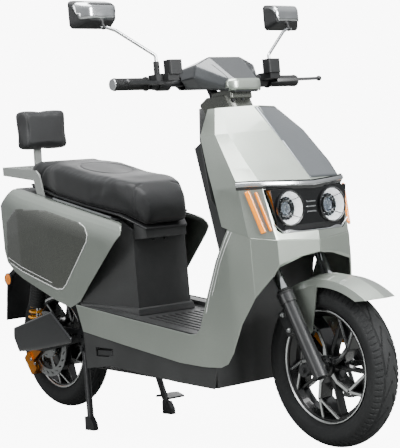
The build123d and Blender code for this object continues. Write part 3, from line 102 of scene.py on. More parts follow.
world = bpy.data.worlds.new("studio")
bpy.context.scene.world = world
world.use_nodes = True
world.node_tree.nodes.clear()
upness = add_node(world.node_tree, "ShaderNodeSeparateXYZ", {
    0: add_node(world.node_tree, "ShaderNodeTexCoord").outputs["Generated"]})
climb = add_node(world.node_tree, "ShaderNodeMapRange", {
    "Value": upness.outputs[2], "From Min": 0.0, "From Max": 0.6, "To Min": 0.34, "To Max": 0.95})
around = add_node(world.node_tree, "ShaderNodeBackground", {
    "Color": linear("#f2f4f6"), "Strength": climb.outputs[0]})
backdrop = add_node(world.node_tree, "ShaderNodeBackground", {"Color": linear("#ffffff"), "Strength": 9.0})
ray = add_node(world.node_tree, "ShaderNodeLightPath")
sky = add_node(world.node_tree, "ShaderNodeMixShader", {
    0: ray.outputs["Is Camera Ray"], 1: around.outputs[0], 2: backdrop.outputs[0]})
add_node(world.node_tree, "ShaderNodeOutputWorld", {"Surface": sky.outputs[0]})

for name, place, target, size, power in (
    ("overhead", (0.9, -0.4, 3.2), (0.2, 0, 0.5), 2.4, 190),
    ("front", (4.2, 0.4, 1.9), (0.4, 0, 0.7), 1.6, 240),
    ("right", (0.2, -4.0, 1.5), (-0.2, 0, 0.6), 1.6, 45),
    ("rear_left", (-2.6, 2.6, 2.2), (0, 0, 0.7), 2.0, 40),
):
    lamp_data = bpy.data.lights.new(name, "AREA")
    lamp_data.energy = power
    lamp_data.size = size
    lamp = link(bpy.data.objects.new(name, lamp_data))
    lamp.location = place
    lamp.rotation_euler = (Vector(target) - Vector(place)).to_track_quat("-Z", "Y").to_euler()


def new_material(name, **sockets):
    """A material with its Principled shader, and the object's own coordinates for its patterns."""
    material = bpy.data.materials.new(name)
    material.use_nodes = True
    tree = material.node_tree
    tree.nodes.clear()
    inputs = {label.replace("_", " "): value for label, value in sockets.items()}
    shader = add_node(tree, "ShaderNodeBsdfPrincipled", inputs)
    add_node(tree, "ShaderNodeOutputMaterial", {"Surface": shader.outputs[0]})
    place = add_node(tree, "ShaderNodeTexCoord").outputs["Object"]
    return material, tree, shader, place


paper, tree, shader, place = new_material("seamless paper", Roughness=0.9)
fibre = add_node(tree, "ShaderNodeTexNoise", {"Vector": place, "Scale": 90.0, "Detail": 3.0})
tint = add_node(tree, "ShaderNodeMix", {
    "Factor": fibre.outputs[0], "A": linear("#7d7e7c"), "B": linear("#868785")}, data_type="RGBA")
tree.links.new(tint.outputs["Result"], shader.inputs["Base Color"])
shader.inputs["Emission Color"].default_value = (1, 1, 1, 1)
ray = add_node(tree, "ShaderNodeLightPath")
glow = add_node(tree, "ShaderNodeMath", {0: ray.outputs["Is Camera Ray"], 1: 9.0}, operation="MULTIPLY")
tree.links.new(glow.outputs[0], shader.inputs["Emission Strength"])
floor_mesh = bpy.data.meshes.new("floor")
floor_mesh.from_pydata([(-30, -30, 0), (30, -30, 0), (30, 30, 0), (-30, 30, 0)], [], [(0, 1, 2, 3)])
floor_mesh.materials.append(paper)
link(bpy.data.objects.new("floor", floor_mesh))

# ---- Painted steel of the frame
# The frame is welded steel tube and plate, powder coated satin black: a fine orange peel in the
# gloss and no wear, as on a new vehicle.


def varied(material_parts, low, high, grain, rough, bump, detail=4.0):
    """Gives a finish its colour variation, uneven gloss and fine relief, from one grain size in mm."""
    material, tree, shader, place = material_parts
    noise = add_node(tree, "ShaderNodeTexNoise", {"Vector": place, "Scale": 1000 / grain, "Detail": detail})
    cloud = add_node(tree, "ShaderNodeTexNoise", {"Vector": place, "Scale": 9.0, "Detail": 3.0})
    both = add_node(tree, "ShaderNodeMath", {0: noise.outputs[0], 1: cloud.outputs[0]}, operation="MULTIPLY")
    spread = add_node(tree, "ShaderNodeMapRange", {
        "Value": both.outputs[0], "From Min": 0.12, "From Max": 0.38})
    colour = add_node(tree, "ShaderNodeMix", {
        "Factor": spread.outputs[0], "A": linear(low), "B": linear(high)}, data_type="RGBA")
    tree.links.new(colour.outputs["Result"], shader.inputs["Base Color"])
    gloss = add_node(tree, "ShaderNodeMapRange", {
        "Value": cloud.outputs[0], "From Min": 0.3, "From Max": 0.7,
        "To Min": rough * 0.88, "To Max": rough * 1.15})
    tree.links.new(gloss.outputs[0], shader.inputs["Roughness"])
    relief = add_node(tree, "ShaderNodeBump", {
        "Height": noise.outputs[0], "Strength": 0.35, "Distance": bump / 1000})
    tree.links.new(relief.outputs[0], shader.inputs["Normal"])
    return material


powder_coat = varied(
    new_material("powder coat satin black", Specular_IOR_Level=0.5), "#17181a", "#212224", 1.4, 0.42, 0.08)
STEEL_NODES = (
    "head_frame", "frame_rails", "frame_cross_members", "centre_stand", "swingarm", "steering_column")
for node in STEEL_NODES:
    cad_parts[node].data.materials.clear()
    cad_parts[node].data.materials.append(powder_coat)


def edge_finish(piece, width, segments=2, angle=28):
    """Rounds a piece's edges with a bevel, bakes it and keeps flat faces flat-shaded."""
    bevel = piece.modifiers.new("edges", "BEVEL")
    bevel.width = width / 1000
    bevel.segments = segments
    bevel.limit_method = "ANGLE"
    bevel.angle_limit = math.radians(angle)
    normals = piece.modifiers.new("normals", "WEIGHTED_NORMAL")
    normals.keep_sharp = True
    return baked(piece)


def baked(piece):
    """Replaces a piece's mesh by what its modifiers make of it."""
    result = bpy.data.meshes.new_from_object(piece.evaluated_get(bpy.context.evaluated_depsgraph_get()))
    piece.modifiers.clear()
    piece.data = result
    return piece


def place_piece(name, bm, material, body, replaced=(), smooth=40):
    """Turns a bmesh into a piece that rides on a body and stands for CAD nodes."""
    mesh = bpy.data.meshes.new(name)
    bm.to_mesh(mesh)
    bm.free()
    mesh.materials.append(material)
    mesh.polygons.foreach_set("use_smooth", [True] * len(mesh.polygons))
    mesh.set_sharp_from_angle(angle=math.radians(smooth))
    piece = link(bpy.data.objects.new(name, mesh))
    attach(piece, body)
    if replaced:
        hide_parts(*replaced)
    return piece


def cad_copy(*nodes):
    """The CAD nodes' own solids as one clean bmesh, with flat faces merged."""
    bm = bmesh.new()
    for node in nodes:
        bm.from_mesh(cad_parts[node].data)
    bmesh.ops.remove_doubles(bm, verts=bm.verts, dist=2e-5)
    bmesh.ops.dissolve_limit(bm, angle_limit=math.radians(1.0), verts=bm.verts, edges=bm.edges)
    return bm


def refined(node, name, edge, material, body, segments=2, angle=28):
    """A CAD node's solid with its moulded or machined edges rounded."""
    piece = place_piece(name, cad_copy(node), material, body, (node,))
    return edge_finish(piece, edge, segments, angle)


refined("centre_stand", "stand_frame", 1.5, powder_coat, "stand")
refined("swingarm", "swing_arm_plates", 1.5, powder_coat, "rear_arm")

# ---- Tyres
# Tubeless 12-inch road tyres of black rubber, moulded with shoulder sipes, two ring grooves and
# curved centre grooves. The walls carry raised rings; the surface is matt, greyer where it is dusty.
TYRE_STEPS = 600
TREAD_DEPTH = 3.4
WALL_RINGS = ((178, 0.9), (200, 0.8))

rubber = varied(
    new_material("moulded tyre rubber", Specular_IOR_Level=0.3), "#1c1d1e", "#2c2d2d", 3.0, 0.72, 0.15)


def three_point_arc(a, b, c, count):
    """Points along the arc through three 2-D points, ends included."""
    (ax, ay), (bx, by), (cx, cy) = a, b, c
    d = 2 * (ax * (by - cy) + bx * (cy - ay) + cx * (ay - by))
    ux = ((ax**2 + ay**2) * (by - cy) + (bx**2 + by**2) * (cy - ay) + (cx**2 + cy**2) * (ay - by)) / d
    uy = ((ax**2 + ay**2) * (cx - bx) + (bx**2 + by**2) * (ax - cx) + (cx**2 + cy**2) * (bx - ax)) / d
    radius = math.hypot(ax - ux, ay - uy)
    start, middle, end = (math.atan2(y - uy, x - ux) for x, y in (a, b, c))
    sweep = (end - start) % (2 * math.pi)
    if (middle - start) % (2 * math.pi) > sweep:
        sweep -= 2 * math.pi
    turns = [start + sweep * i / count for i in range(count + 1)]
    return [(ux + radius * math.cos(turn), uy + radius * math.sin(turn)) for turn in turns]


def groove(turn, y):
    """Depth share, 0 to 1, of the tread's cuts at a turn (0 to 1) and a place across the tyre in mm."""
    side = 1 if y > 0 else -1
    across = abs(y)
    ring = max(0.0, 1 - abs(across - 25) / 2.2)
    sipe_phase = (turn * 76 + 0.25 * side + across / 60) % 1
    sipe = 1.0 if 27 < across < 42 and sipe_phase < 0.30 else 0.0
    curve_phase = (turn * 19 + side * 0.5 * (side < 0) + (across / 24) ** 1.5 * 0.9) % 1
    curve = 1.0 if 3 < across < 23 and curve_phase < 0.13 else 0.0
    return max(min(1.0, ring * 1.6), sipe * 0.9, curve)


def tyre(node, name, body):
    low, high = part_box(node)
    axle = (low + high) / 2
    radius = (high.z - low.z) / 2 * 1000
    half = (high.y - low.y) / 2 * 1000
    wall = three_point_arc((164, 30), (radius - 38, half), (radius - 20, half - 5), 13)
    crown = three_point_arc((radius - 20, half - 5), (radius, 0), (radius - 20, 5 - half), 46)
    other = [(r, -y) for r, y in reversed(wall)]
    profile = [(150.4, 26.5), (161.6, 27.4), *wall, *crown[1:-1], *other, (161.6, -27.4), (150.4, -26.5)]
    bm = bmesh.new()
    rings = []
    for step in range(TYRE_STEPS):
        turn = step / TYRE_STEPS
        angle = 2 * math.pi * turn
        ring = []
        for r, y in profile:
            if r > radius - 24:
                r -= TREAD_DEPTH * groove(turn, y)
            for ring_r, height in WALL_RINGS:
                if abs(r - ring_r) < 3.2:
                    y += math.copysign(height, y)
            ring.append(bm.verts.new((
                axle.x + r * math.cos(angle) / 1000, axle.y + y / 1000, axle.z + r * math.sin(angle) / 1000)))
        rings.append(ring)
    count = len(profile)
    for i in range(TYRE_STEPS):
        here, there = rings[i], rings[(i + 1) % TYRE_STEPS]
        for k in range(count):
            bm.faces.new((here[k], here[(k + 1) % count], there[(k + 1) % count], there[k]))
    bmesh.ops.recalc_face_normals(bm, faces=bm.faces)
    return place_piece(name, bm, rubber, body, (node,), smooth=32)


tyre("front_tyre", "tyre_front", "front_wheel")
tyre("rear_tyre", "tyre_rear", "rear_wheel")

# ---- Cast wheels
# Low-pressure cast aluminium, sprayed gloss black. A lathe then faces the lip and the tops of the
# spokes to bright metal, which shows fine turning rings, and clear lacquer goes over all of it.
SPOKE_TURN = -90                    # degrees of the first group of spokes
SPOKE_TOP = 23.0

gloss_black = varied(
    new_material("cast aluminium sprayed gloss black", Coat_Weight=0.6, Coat_Roughness=0.06, Metallic=0.2),
    "#0d0e0f", "#151617", 5.0, 0.28, 0.03)


def turned(name, low, high, rough, spacing):
    """Bright metal faced on a lathe: rings of tool marks round the axle, too fine to count."""
    material, tree, shader, place = new_material(name, Metallic=1.0)
    rings = add_node(tree, "ShaderNodeTexWave", {
        "Vector": place, "Scale": 1000 / spacing / 20, "Distortion": 0.6, "Detail": 2.0},
        wave_type="RINGS", rings_direction="Y")
    noise = add_node(tree, "ShaderNodeTexNoise", {"Vector": place, "Scale": 60.0, "Detail": 3.0})
    blend = add_node(tree, "ShaderNodeMath", {0: rings.outputs[1], 1: noise.outputs[0]}, operation="MULTIPLY")
    colour = add_node(tree, "ShaderNodeMix", {
        "Factor": blend.outputs[0], "A": linear(low), "B": linear(high)}, data_type="RGBA")
    tree.links.new(colour.outputs["Result"], shader.inputs["Base Color"])
    gloss = add_node(tree, "ShaderNodeMapRange", {
        "Value": blend.outputs[0], "To Min": rough * 0.8, "To Max": rough * 1.3})
    tree.links.new(gloss.outputs[0], shader.inputs["Roughness"])
    relief = add_node(tree, "ShaderNodeBump", {
        "Height": rings.outputs[1], "Strength": 0.2, "Distance": 0.0001})
    tree.links.new(relief.outputs[0], shader.inputs["Normal"])
    return material


faced_metal = turned("faced aluminium under lacquer", "#d4d6d6", "#f2f3f3", 0.24, 0.6)


def lathe(bm, profile, axle, steps=96):
    """Closed ring from (radius, y) points in mm round an axle along Y."""
    rings = []
    for step in range(steps):
        angle = 2 * math.pi * step / steps
        rings.append([bm.verts.new((
            axle.x + r * math.cos(angle) / 1000, axle.y + y / 1000, axle.z + r * math.sin(angle) / 1000))
            for r, y in profile])
    count = len(profile)
    for i in range(steps):
        here, there = rings[i], rings[(i + 1) % steps]
        for k in range(count):
            bm.faces.new((here[k], here[(k + 1) % count], there[(k + 1) % count], there[k]))


def strip_outline(points, widths):
    """The outline round a 2-D line with a width at each of its points."""
    sides = ([], [])
    for i, (x, z) in enumerate(points):
        ahead = points[min(i + 1, len(points) - 1)]
        behind = points[max(i - 1, 0)]
        run = Vector((ahead[0] - behind[0], ahead[1] - behind[1])).normalized()
        for sign, side in ((1, sides[0]), (-1, sides[1])):
            side.append((x - sign * run.y * widths[i] / 2, z + sign * run.x * widths[i] / 2))
    return sides[0] + sides[1][::-1]


def plate(bm, outline, low, high, axle):
    """A flat plate from a 2-D outline in X and Z, between two Y values, in mm from an axle."""
    bottom = [bm.verts.new((axle.x + x / 1000, axle.y + low / 1000, axle.z + z / 1000)) for x, z in outline]
    top = [bm.verts.new((axle.x + x / 1000, axle.y + high / 1000, axle.z + z / 1000)) for x, z in outline]
    bm.faces.new(bottom)
    bm.faces.new(top[::-1])
    for i in range(len(outline)):
        j = (i + 1) % len(outline)
        bm.faces.new((bottom[i], top[i], top[j], bottom[j]))


def polar(radius, degrees):
    return (radius * math.cos(math.radians(degrees)), radius * math.sin(math.radians(degrees)))


FRONT_ARMS = (
    (((26, -30), (56, -33), (104, -23)), (20, 15, 15)),
    (((100, -24), (151, -12)), (13, 13)),
    (((102, -22), (152, 12)), (13, 12)),
)
FRONT_WEB = (((24, 20), (80, 12), (152, 12)), (15, 10, 10))
REAR_ARMS = (
    (((84, -24), (112, -16)), (16, 13)),
    (((108, -18), (151, -9)), (11, 11)),
    (((110, -15), (152, 14)), (11, 11)),
)
REAR_WEB = (((84, 14), (152, 15)), (10, 10))


RIM_LIP = ((154.2, 30.3), (157.6, 32.5), (160.3, 31.9), (160.5, 30.8), (157.5, 31.4), (154.4, 29.4))


def wheel(node, prefix, arms, web, body, hub_profile, cap_profile):
    low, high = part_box(node)
    axle = Vector(((low.x + high.x) / 2, 0, (low.z + high.z) / 2))
    bm = bmesh.new()
    lathe(bm, [(149.2, 27), (160.4, 27.2), (161, 29.5), (160.2, 31.4), (157.5, 32), (153.5, 29.5), (148, 22),
               (141, 12), (138.4, 9), (138.4, -9), (141, -12), (148, -22), (153.5, -29.5), (157.5, -32),
               (160.2, -31.4), (161, -29.5), (160.4, -27.2), (149.2, -27), (149.2, -14), (143, -10.5),
               (143, 10.5), (149.2, 14)], axle)
    lathe(bm, hub_profile, axle)
    bmesh.ops.recalc_face_normals(bm, faces=bm.faces)
    place_piece(prefix + "_wheel_casting", bm, gloss_black, body, (node,))
    bars = bmesh.new()
    bright = bmesh.new()
    for group in range(5):
        turn = SPOKE_TURN + 72 * group
        line = [polar(r, a + turn) for r, a in web[0]]
        plate(bars, strip_outline(line, web[1]), -13, 13, axle)
        for points, widths in arms:
            line = [polar(r, a + turn) for r, a in points]
            plate(bars, strip_outline(line, widths), -SPOKE_TOP, SPOKE_TOP, axle)
            slim = strip_outline(line, [w - 6.5 for w in widths])
            plate(bright, slim, SPOKE_TOP - 1, SPOKE_TOP + 0.4, axle)
            plate(bright, slim, -SPOKE_TOP - 0.4, 1 - SPOKE_TOP, axle)
    for side in (1, -1):
        lathe(bright, [(r, y * side) for r, y in RIM_LIP], axle)
        lathe(bright, [(r, y * side) for r, y in cap_profile], axle)
    bmesh.ops.recalc_face_normals(bars, faces=bars.faces)
    bmesh.ops.recalc_face_normals(bright, faces=bright.faces)
    edge_finish(place_piece(prefix + "_spokes", bars, gloss_black, body), 2.2)
    place_piece(prefix + "_faced_metal", bright, faced_metal, body)


wheel("front_rim", "front", FRONT_ARMS, FRONT_WEB, "front_wheel",
      [(9, 51), (20, 51), (22, 48), (22, 31), (29, 29), (31, 24), (31, -24), (29, -29), (22, -31), (22, -48),
       (20, -51), (9, -51)],
      [(12, 50), (12, 51.8), (19, 51.8), (21, 50.4), (19, 50)])
wheel("rear_rim", "rear", REAR_ARMS, REAR_WEB, "rear_wheel",
      [(9, 71), (32, 71), (34, 69), (34, 58), (78, 56), (84, 52), (86, 46), (86, -46), (84, -52), (78, -56),
       (34, -58), (34, -69), (32, -71), (9, -71)],
      [(36, 57.2), (36, 58.4), (44, 58), (46, 57), (44, 56.4)])

# ---- Brake discs and calipers
# Discs are stainless steel, stamped with slots and ground flat, held to the hub by button screws.
# The opposed-piston calipers are machined aluminium, anodised gold.
ground_steel = turned("ground stainless steel", "#8f9191", "#c4c6c6", 0.34, 1.2)
gold_anodise = varied(
    new_material("gold anodised aluminium", Metallic=0.9, Coat_Weight=0.2),
    "#b86a08", "#e08c12", 0.9, 0.34, 0.05)
zinc_steel = varied(new_material("zinc plated steel", Metallic=1.0), "#9fa2a3", "#c9cbcb", 0.5, 0.3, 0.03)


def screw_mesh(name, head, across_hex):
    """A domed button head with a hexagon socket, 1 mm across, for setting at each place."""
    bm = bmesh.new()
    profile = [
        (0.0, 0.05), (across_hex, 0.05), (across_hex, head * 0.9),
        (0.34, head), (0.46, head * 0.6), (0.5, 0.0)]
    rings = []
    for step in range(18):
        angle = 2 * math.pi * step / 18
        ring = []
        for i, (r, z) in enumerate(profile):
            if i == 0:
                continue
            if i < 3:
                facet = math.pi / 6 - (angle % (math.pi / 3))
                r *= math.cos(math.pi / 6) / math.cos(facet)
            ring.append(bm.verts.new((r * math.cos(angle) / 1000, r * math.sin(angle) / 1000, z / 1000)))
        rings.append(ring)
    floor_centre = bm.verts.new((0, 0, profile[0][1] / 1000))
    under_centre = bm.verts.new((0, 0, 0))
    for i in range(18):
        here, there = rings[i], rings[(i + 1) % 18]
        bm.faces.new((floor_centre, here[0], there[0]))
        for k in range(4):
            bm.faces.new((here[k], here[k + 1], there[k + 1], there[k]))
        bm.faces.new((under_centre, there[4], here[4]))
    bmesh.ops.recalc_face_normals(bm, faces=bm.faces)
    mesh = bpy.data.meshes.new(name)
    bm.to_mesh(mesh)
    bm.free()
    mesh.polygons.foreach_set("use_smooth", [True] * len(mesh.polygons))
    mesh.set_sharp_from_angle(angle=math.radians(35))
    return mesh


def repeated(name, item_mesh, places, size, material, body):
    """Sets a small shape at each (point, facing, along), sized in mm, as one mesh on one body."""
    points = bpy.data.meshes.new(name + "_places")
    points.from_pydata([tuple(p) for p, _, _ in places], [], [])
    for label, index in (("facing", 1), ("along", 2)):
        attribute = points.attributes.new(label, "FLOAT_VECTOR", "POINT")
        attribute.data.foreach_set("vector", [v for place in places for v in place[index]])
    item = bpy.data.objects.new(name + "_item", item_mesh)
    tree = bpy.data.node_groups.new(name, "GeometryNodeTree")
    interface = tree.interface
    interface.new_socket("Places", in_out="INPUT", socket_type="NodeSocketGeometry")
    item_socket = interface.new_socket("Item", in_out="INPUT", socket_type="NodeSocketObject")
    size_socket = interface.new_socket("Size", in_out="INPUT", socket_type="NodeSocketFloat")
    finish_socket = interface.new_socket("Finish", in_out="INPUT", socket_type="NodeSocketMaterial")
    interface.new_socket("Pieces", in_out="OUTPUT", socket_type="NodeSocketGeometry")
    given = add_node(tree, "NodeGroupInput")
    facing = add_node(tree, "GeometryNodeInputNamedAttribute", {"Name": "facing"}, data_type="FLOAT_VECTOR")
    along = add_node(tree, "GeometryNodeInputNamedAttribute", {"Name": "along"}, data_type="FLOAT_VECTOR")
    stood = add_node(tree, "FunctionNodeAlignRotationToVector", {"Vector": facing.outputs[0]}, axis="Z")
    swung = add_node(tree, "FunctionNodeAlignRotationToVector", {
        "Rotation": stood.outputs[0], "Vector": along.outputs[0]}, axis="X", pivot_axis="Z")
    source = add_node(tree, "GeometryNodeObjectInfo", {"Object": given.outputs["Item"]})
    set_out = add_node(tree, "GeometryNodeInstanceOnPoints", {
        "Points": given.outputs["Places"], "Instance": source.outputs["Geometry"],
        "Rotation": swung.outputs[0], "Scale": given.outputs["Size"]})
    solid = add_node(tree, "GeometryNodeRealizeInstances", {"Geometry": set_out.outputs[0]})
    coloured = add_node(tree, "GeometryNodeSetMaterial", {
        "Geometry": solid.outputs[0], "Material": given.outputs["Finish"]})
    add_node(tree, "NodeGroupOutput", {0: coloured.outputs[0]})
    piece = link(bpy.data.objects.new(name, points))
    modifier = piece.modifiers.new("set", "NODES")
    modifier.node_group = tree
    modifier[item_socket.identifier] = item
    modifier[size_socket.identifier] = size
    modifier[finish_socket.identifier] = material
    baked(piece)
    bpy.data.objects.remove(item)
    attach(piece, body)
    return piece


button_screw = screw_mesh("button_screw", 0.32, 0.2)
for node, body, side, ring_r in (("front_disc", "front_wheel", 1, 24), ("rear_disc", "rear_wheel", -1, 42)):
    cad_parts[node].data.materials.clear()
    refined(node, node + "_plate", 0.5, ground_steel, body, 1)
    low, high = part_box(node)
    axle = (low + high) / 2
    outer_y = high.y if side > 0 else low.y
    places = []
    for k in range(5):
        x, z = polar(ring_r / 1000, 72 * k + 36)
        places.append(((axle.x + x, outer_y, axle.z + z), (0, side, 0), (1, 0, 0)))
    repeated(node + "_screws", button_screw, places, 9, zinc_steel, body)

for node, body in (("front_caliper", "fork_lowers"), ("rear_caliper", "rear_arm")):
    refined(node, node + "_body", 2.2, gold_anodise, body, 3)
    low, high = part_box(node)
    side = 1 if low.y > 0 else -1
    centre = (low + high) / 2
    face_y = high.y if side > 0 else low.y
    places = []
    for dx, dz in ((-14, 10), (12, -16)) if node == "front_caliper" else ((-10, -2), (14, -16)):
        place = (centre.x + dx / 1000 - 0.008, face_y, centre.z + dz / 1000 - 0.008)
        places.append((place, (0, side, 0), (1, 0, 0)))
    repeated(node + "_bolts", button_screw, places, 11, zinc_steel, body)

# ---- Front fork
# Hard-chromed stanchions slide in black painted lower legs, past a rubber dust seal on each. The
# yoke and the steering stem above them are black powder coated.
hard_chrome = varied(new_material("hard chrome", Metallic=1.0), "#c4c7c9", "#dfe1e2", 0.8, 0.12, 0.01)
fork_paint = varied(
    new_material("semi-gloss black paint on cast aluminium", Coat_Weight=0.25, Coat_Roughness=0.2),
    "#141516", "#1e1f20", 1.8, 0.38, 0.1)
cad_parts["fork_stanchions"].data.materials.clear()
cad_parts["fork_stanchions"].data.materials.append(hard_chrome)
refined("fork_sliders", "fork_lower_legs", 2.0, fork_paint, "fork_lowers")

RAKE = math.radians(27)
BAR_CENTRE = Vector((0.244, 0, 1.070))
steer_up = Vector((-math.sin(RAKE), 0, math.cos(RAKE)))
steer_ahead = Vector((math.cos(RAKE), 0, math.sin(RAKE)))


def turned_ring(bm, centre, axis, profile, steps=40, flutes=0, depth=0.0):
    """Closed ring from (radius, height) points in mm round any axis, with flutes round it if asked."""
    axis = Vector(axis).normalized()
    side = axis.orthogonal().normalized()
    other = axis.cross(side)
    rings = []
    for step in range(steps):
        angle = 2 * math.pi * step / steps
        out = (side * math.cos(angle) + other * math.sin(angle)) * (1 + depth * math.cos(flutes * angle))
        rings.append([
            bm.verts.new(Vector(centre) + out * (r / 1000) + axis * (h / 1000)) for r, h in profile])
    count = len(profile)
    for i in range(steps):
        here, there = rings[i], rings[(i + 1) % steps]
        for k in range(count):
            bm.faces.new((here[k], here[(k + 1) % count], there[(k + 1) % count], there[k]))


seals = bmesh.new()
for side in (-1, 1):
    top = BAR_CENTRE + steer_up * -0.731 + steer_ahead * 0.040 + Vector((0, side * 0.095, 0))
    turned_ring(seals, top, steer_up, [
        (15.8, 0.2), (25, 0.2), (25, 6), (22, 9), (20.5, 9.5), (20, 13), (17.2, 16), (15.8, 16)])
bmesh.ops.recalc_face_normals(seals, faces=seals.faces)
seal_rubber = varied(
    new_material("moulded seal rubber", Specular_IOR_Level=0.35), "#161617", "#232424", 1.2, 0.6, 0.08)
place_piece("fork_dust_seals", seals, seal_rubber, "fork_lowers")

# ---- Painted body panels
# Injection-moulded ABS, sprayed pale silver-green metallic with clear lacquer over it. Flakes of
# about a fifth of a millimetre give a fine sparkle, drawn coarser than life so that they show.


def lacquer(name, dark, light, metallic, rough):
    material, tree, shader, place = new_material(
        name, Metallic=metallic, Coat_Weight=1.0, Coat_Roughness=0.04)
    flake = add_node(tree, "ShaderNodeTexVoronoi", {"Vector": place, "Scale": 1400.0})
    cloud = add_node(tree, "ShaderNodeTexNoise", {"Vector": place, "Scale": 5.0, "Detail": 2.0})
    both = add_node(tree, "ShaderNodeMath", {
        0: flake.outputs["Color"], 1: cloud.outputs[0]}, operation="MULTIPLY")
    colour = add_node(tree, "ShaderNodeMix", {
        "Factor": both.outputs[0], "A": linear(dark), "B": linear(light)}, data_type="RGBA")
    tree.links.new(colour.outputs["Result"], shader.inputs["Base Color"])
    gloss = add_node(tree, "ShaderNodeMapRange", {
        "Value": both.outputs[0], "To Min": rough * 0.9, "To Max": rough * 1.2})
    tree.links.new(gloss.outputs[0], shader.inputs["Roughness"])
    peel = add_node(tree, "ShaderNodeTexNoise", {"Vector": place, "Scale": 160.0, "Detail": 1.0})
    relief = add_node(tree, "ShaderNodeBump", {
        "Height": peel.outputs[0], "Strength": 0.12, "Distance": 0.0002})
    tree.links.new(relief.outputs[0], shader.inputs["Coat Normal"])
    return material


silver_lacquer = lacquer("silver metallic lacquer on ABS", "#a3aba2", "#c9d0c6", 0.85, 0.34)
slate_lacquer = lacquer("slate metallic lacquer on ABS", "#686d71", "#83888c", 0.8, 0.34)
gunmetal_lacquer = lacquer("gunmetal metallic lacquer on ABS", "#3f4143", "#575a5c", 0.6, 0.34)
# A darker grey lacquer as painted shade: on the neck cover and neck collar under the cowl, and on the flank
# fields below the shoulders.
shadow_lacquer = lacquer("grey lacquer on ABS, darkened as painted shade", "#696b65", "#868980", 0.85, 0.28)
moulded_grey = varied(
    new_material("grained ABS, dark grey", Specular_IOR_Level=0.45), "#2b2c2c", "#383939", 0.9, 0.46, 0.12)
moulded_black = varied(
    new_material("grained ABS, black", Specular_IOR_Level=0.45), "#151617", "#202122", 0.9, 0.5, 0.12)

shield = refined("front_shield", "front_shield_panel", 1.6, silver_lacquer, "chassis", 3, 12)
aprons = refined("side_aprons", "apron_panels", 1.4, silver_lacquer, "chassis", 3, 16)
flanks = refined("rear_panels", "rear_side_panels", 3.0, silver_lacquer, "chassis", 4, 12)
# The neck cover takes the darker grey as painted shade under the cowl.
refined("neck_cover", "neck_cover_panel", 8.0, shadow_lacquer, "steering", 4)
refined("front_fender", "fender_panel", 1.3, silver_lacquer, "fork_lowers", 3, 14)
refined("leg_shield", "inner_leg_shield", 2.0, moulded_grey, "chassis", 3, 20)
refined("lower_fairing", "lower_skirt", 1.5, moulded_grey, "chassis", 2)
refined("seat_box", "seat_base_cover", 2.0, moulded_grey, "chassis", 3, 20)
refined("floorboard", "floorboard_tray", 2.5, moulded_grey, "chassis", 3, 20)
refined("rear_mudguard", "rear_mudguard_panel", 1.2, moulded_black, "chassis", 2)
refined("seat_pan", "seat_base_plate", 1.2, moulded_black, "seat", 1)
refined("battery_box", "battery_case", 4.0, moulded_grey, "chassis", 3)


# ---- Painted lines and areas on the panels
# Self-adhesive film under the lacquer, a fraction of a millimetre thick: a slate area on half of the front
# shield, a white border on each rear flank, and white lines along the aprons. Inside each border a thin sheet
# of darker grey paints the shade on the flank below its shoulder.


def surface_of(piece):
    return BVHTree.FromObject(piece, bpy.context.evaluated_depsgraph_get())


def laid_on(surface, point, direction, lift):
    """Where a point, moved along a direction, meets the outside of a panel, lifted in mm."""
    direction = Vector(direction)
    hit, normal, _, _ = surface.ray_cast(Vector(point) - direction * 0.35, direction)
    if hit is None:
        return None
    if normal.dot(direction) > 0:
        normal = -normal
    return hit + normal * lift / 1000


def film_line(bm, surface, points, width, direction, lift=0.35, step=5.0):
    """A line of film along a path of (x, y, z) points in mm, laid on a panel."""
    path = []
    for start, end in zip(points, points[1:]):
        run = Vector(end) - Vector(start)
        count = max(1, round(run.length / step))
        path += [Vector(start) + run * i / count for i in range(count)]
    path.append(Vector(points[-1]))
    direction = Vector(direction)
    previous = None
    for i, point in enumerate(path):
        run = path[min(i + 1, len(path) - 1)] - path[max(i - 1, 0)]
        across = run.cross(direction).normalized() * width / 2
        pair = [laid_on(surface, (point + across * s) / 1000, direction, lift) for s in (1, -1)]
        pair = None if None in pair else [bm.verts.new(p) for p in pair]
        if pair and previous:
            bm.faces.new((previous[0], previous[1], pair[1], pair[0]))
        previous = pair


def film_area(bm, surface, outline, direction, lift=0.3, cell=12.0):
    """An area of film inside an outline of (x, y, z) points in mm, cut in cells and laid on a panel."""
    direction = Vector(direction)
    piece = bmesh.new()
    piece.faces.new([piece.verts.new(Vector(p) / 1000) for p in outline])
    axes = [Vector(a) for a in ((1, 0, 0), (0, 1, 0), (0, 0, 1)) if abs(Vector(a).dot(direction)) < 0.5]
    for axis in axes:
        places = [v.co.dot(axis) for v in piece.verts]
        at = min(places) + cell / 1000
        while at < max(places):
            whole = piece.verts[:] + piece.edges[:] + piece.faces[:]
            bmesh.ops.bisect_plane(piece, geom=whole, plane_co=axis * at, plane_no=axis)
            at += cell / 1000
    for vert in list(piece.verts):
        found = laid_on(surface, vert.co, direction, lift)
        if found is None:
            piece.verts.remove(vert)
        else:
            vert.co = found
    made = {}
    for face in piece.faces:
        for vert in face.verts:
            if vert not in made:
                made[vert] = bm.verts.new(vert.co)
        bm.faces.new([made[v] for v in face.verts])
    piece.free()


def film_piece(name, bm, material, body, thickness=0.25):
    for face in bm.faces:
        face.smooth = True
    piece = place_piece(name, bm, material, body)
    wall = piece.modifiers.new("thickness", "SOLIDIFY")
    wall.thickness = thickness / 1000
    wall.offset = -1
    return baked(piece)


white_film = varied(
    new_material("white vinyl film", Coat_Weight=0.5, Coat_Roughness=0.1),
    "#e4e6e4", "#f3f4f3", 6.0, 0.4, 0.01)
shield_skin = surface_of(shield)
half_shield = bmesh.new()
film_area(half_shield, shield_skin, [
    (700, -14, 975), (700, 101, 975), (700, 143, 900), (700, 153, 800), (700, 150, 756), (700, 2, 756)],
    (-1, 0, 0), 0.6, 8.0)
film_piece("slate_half_of_shield", half_shield, slate_lacquer, "chassis")

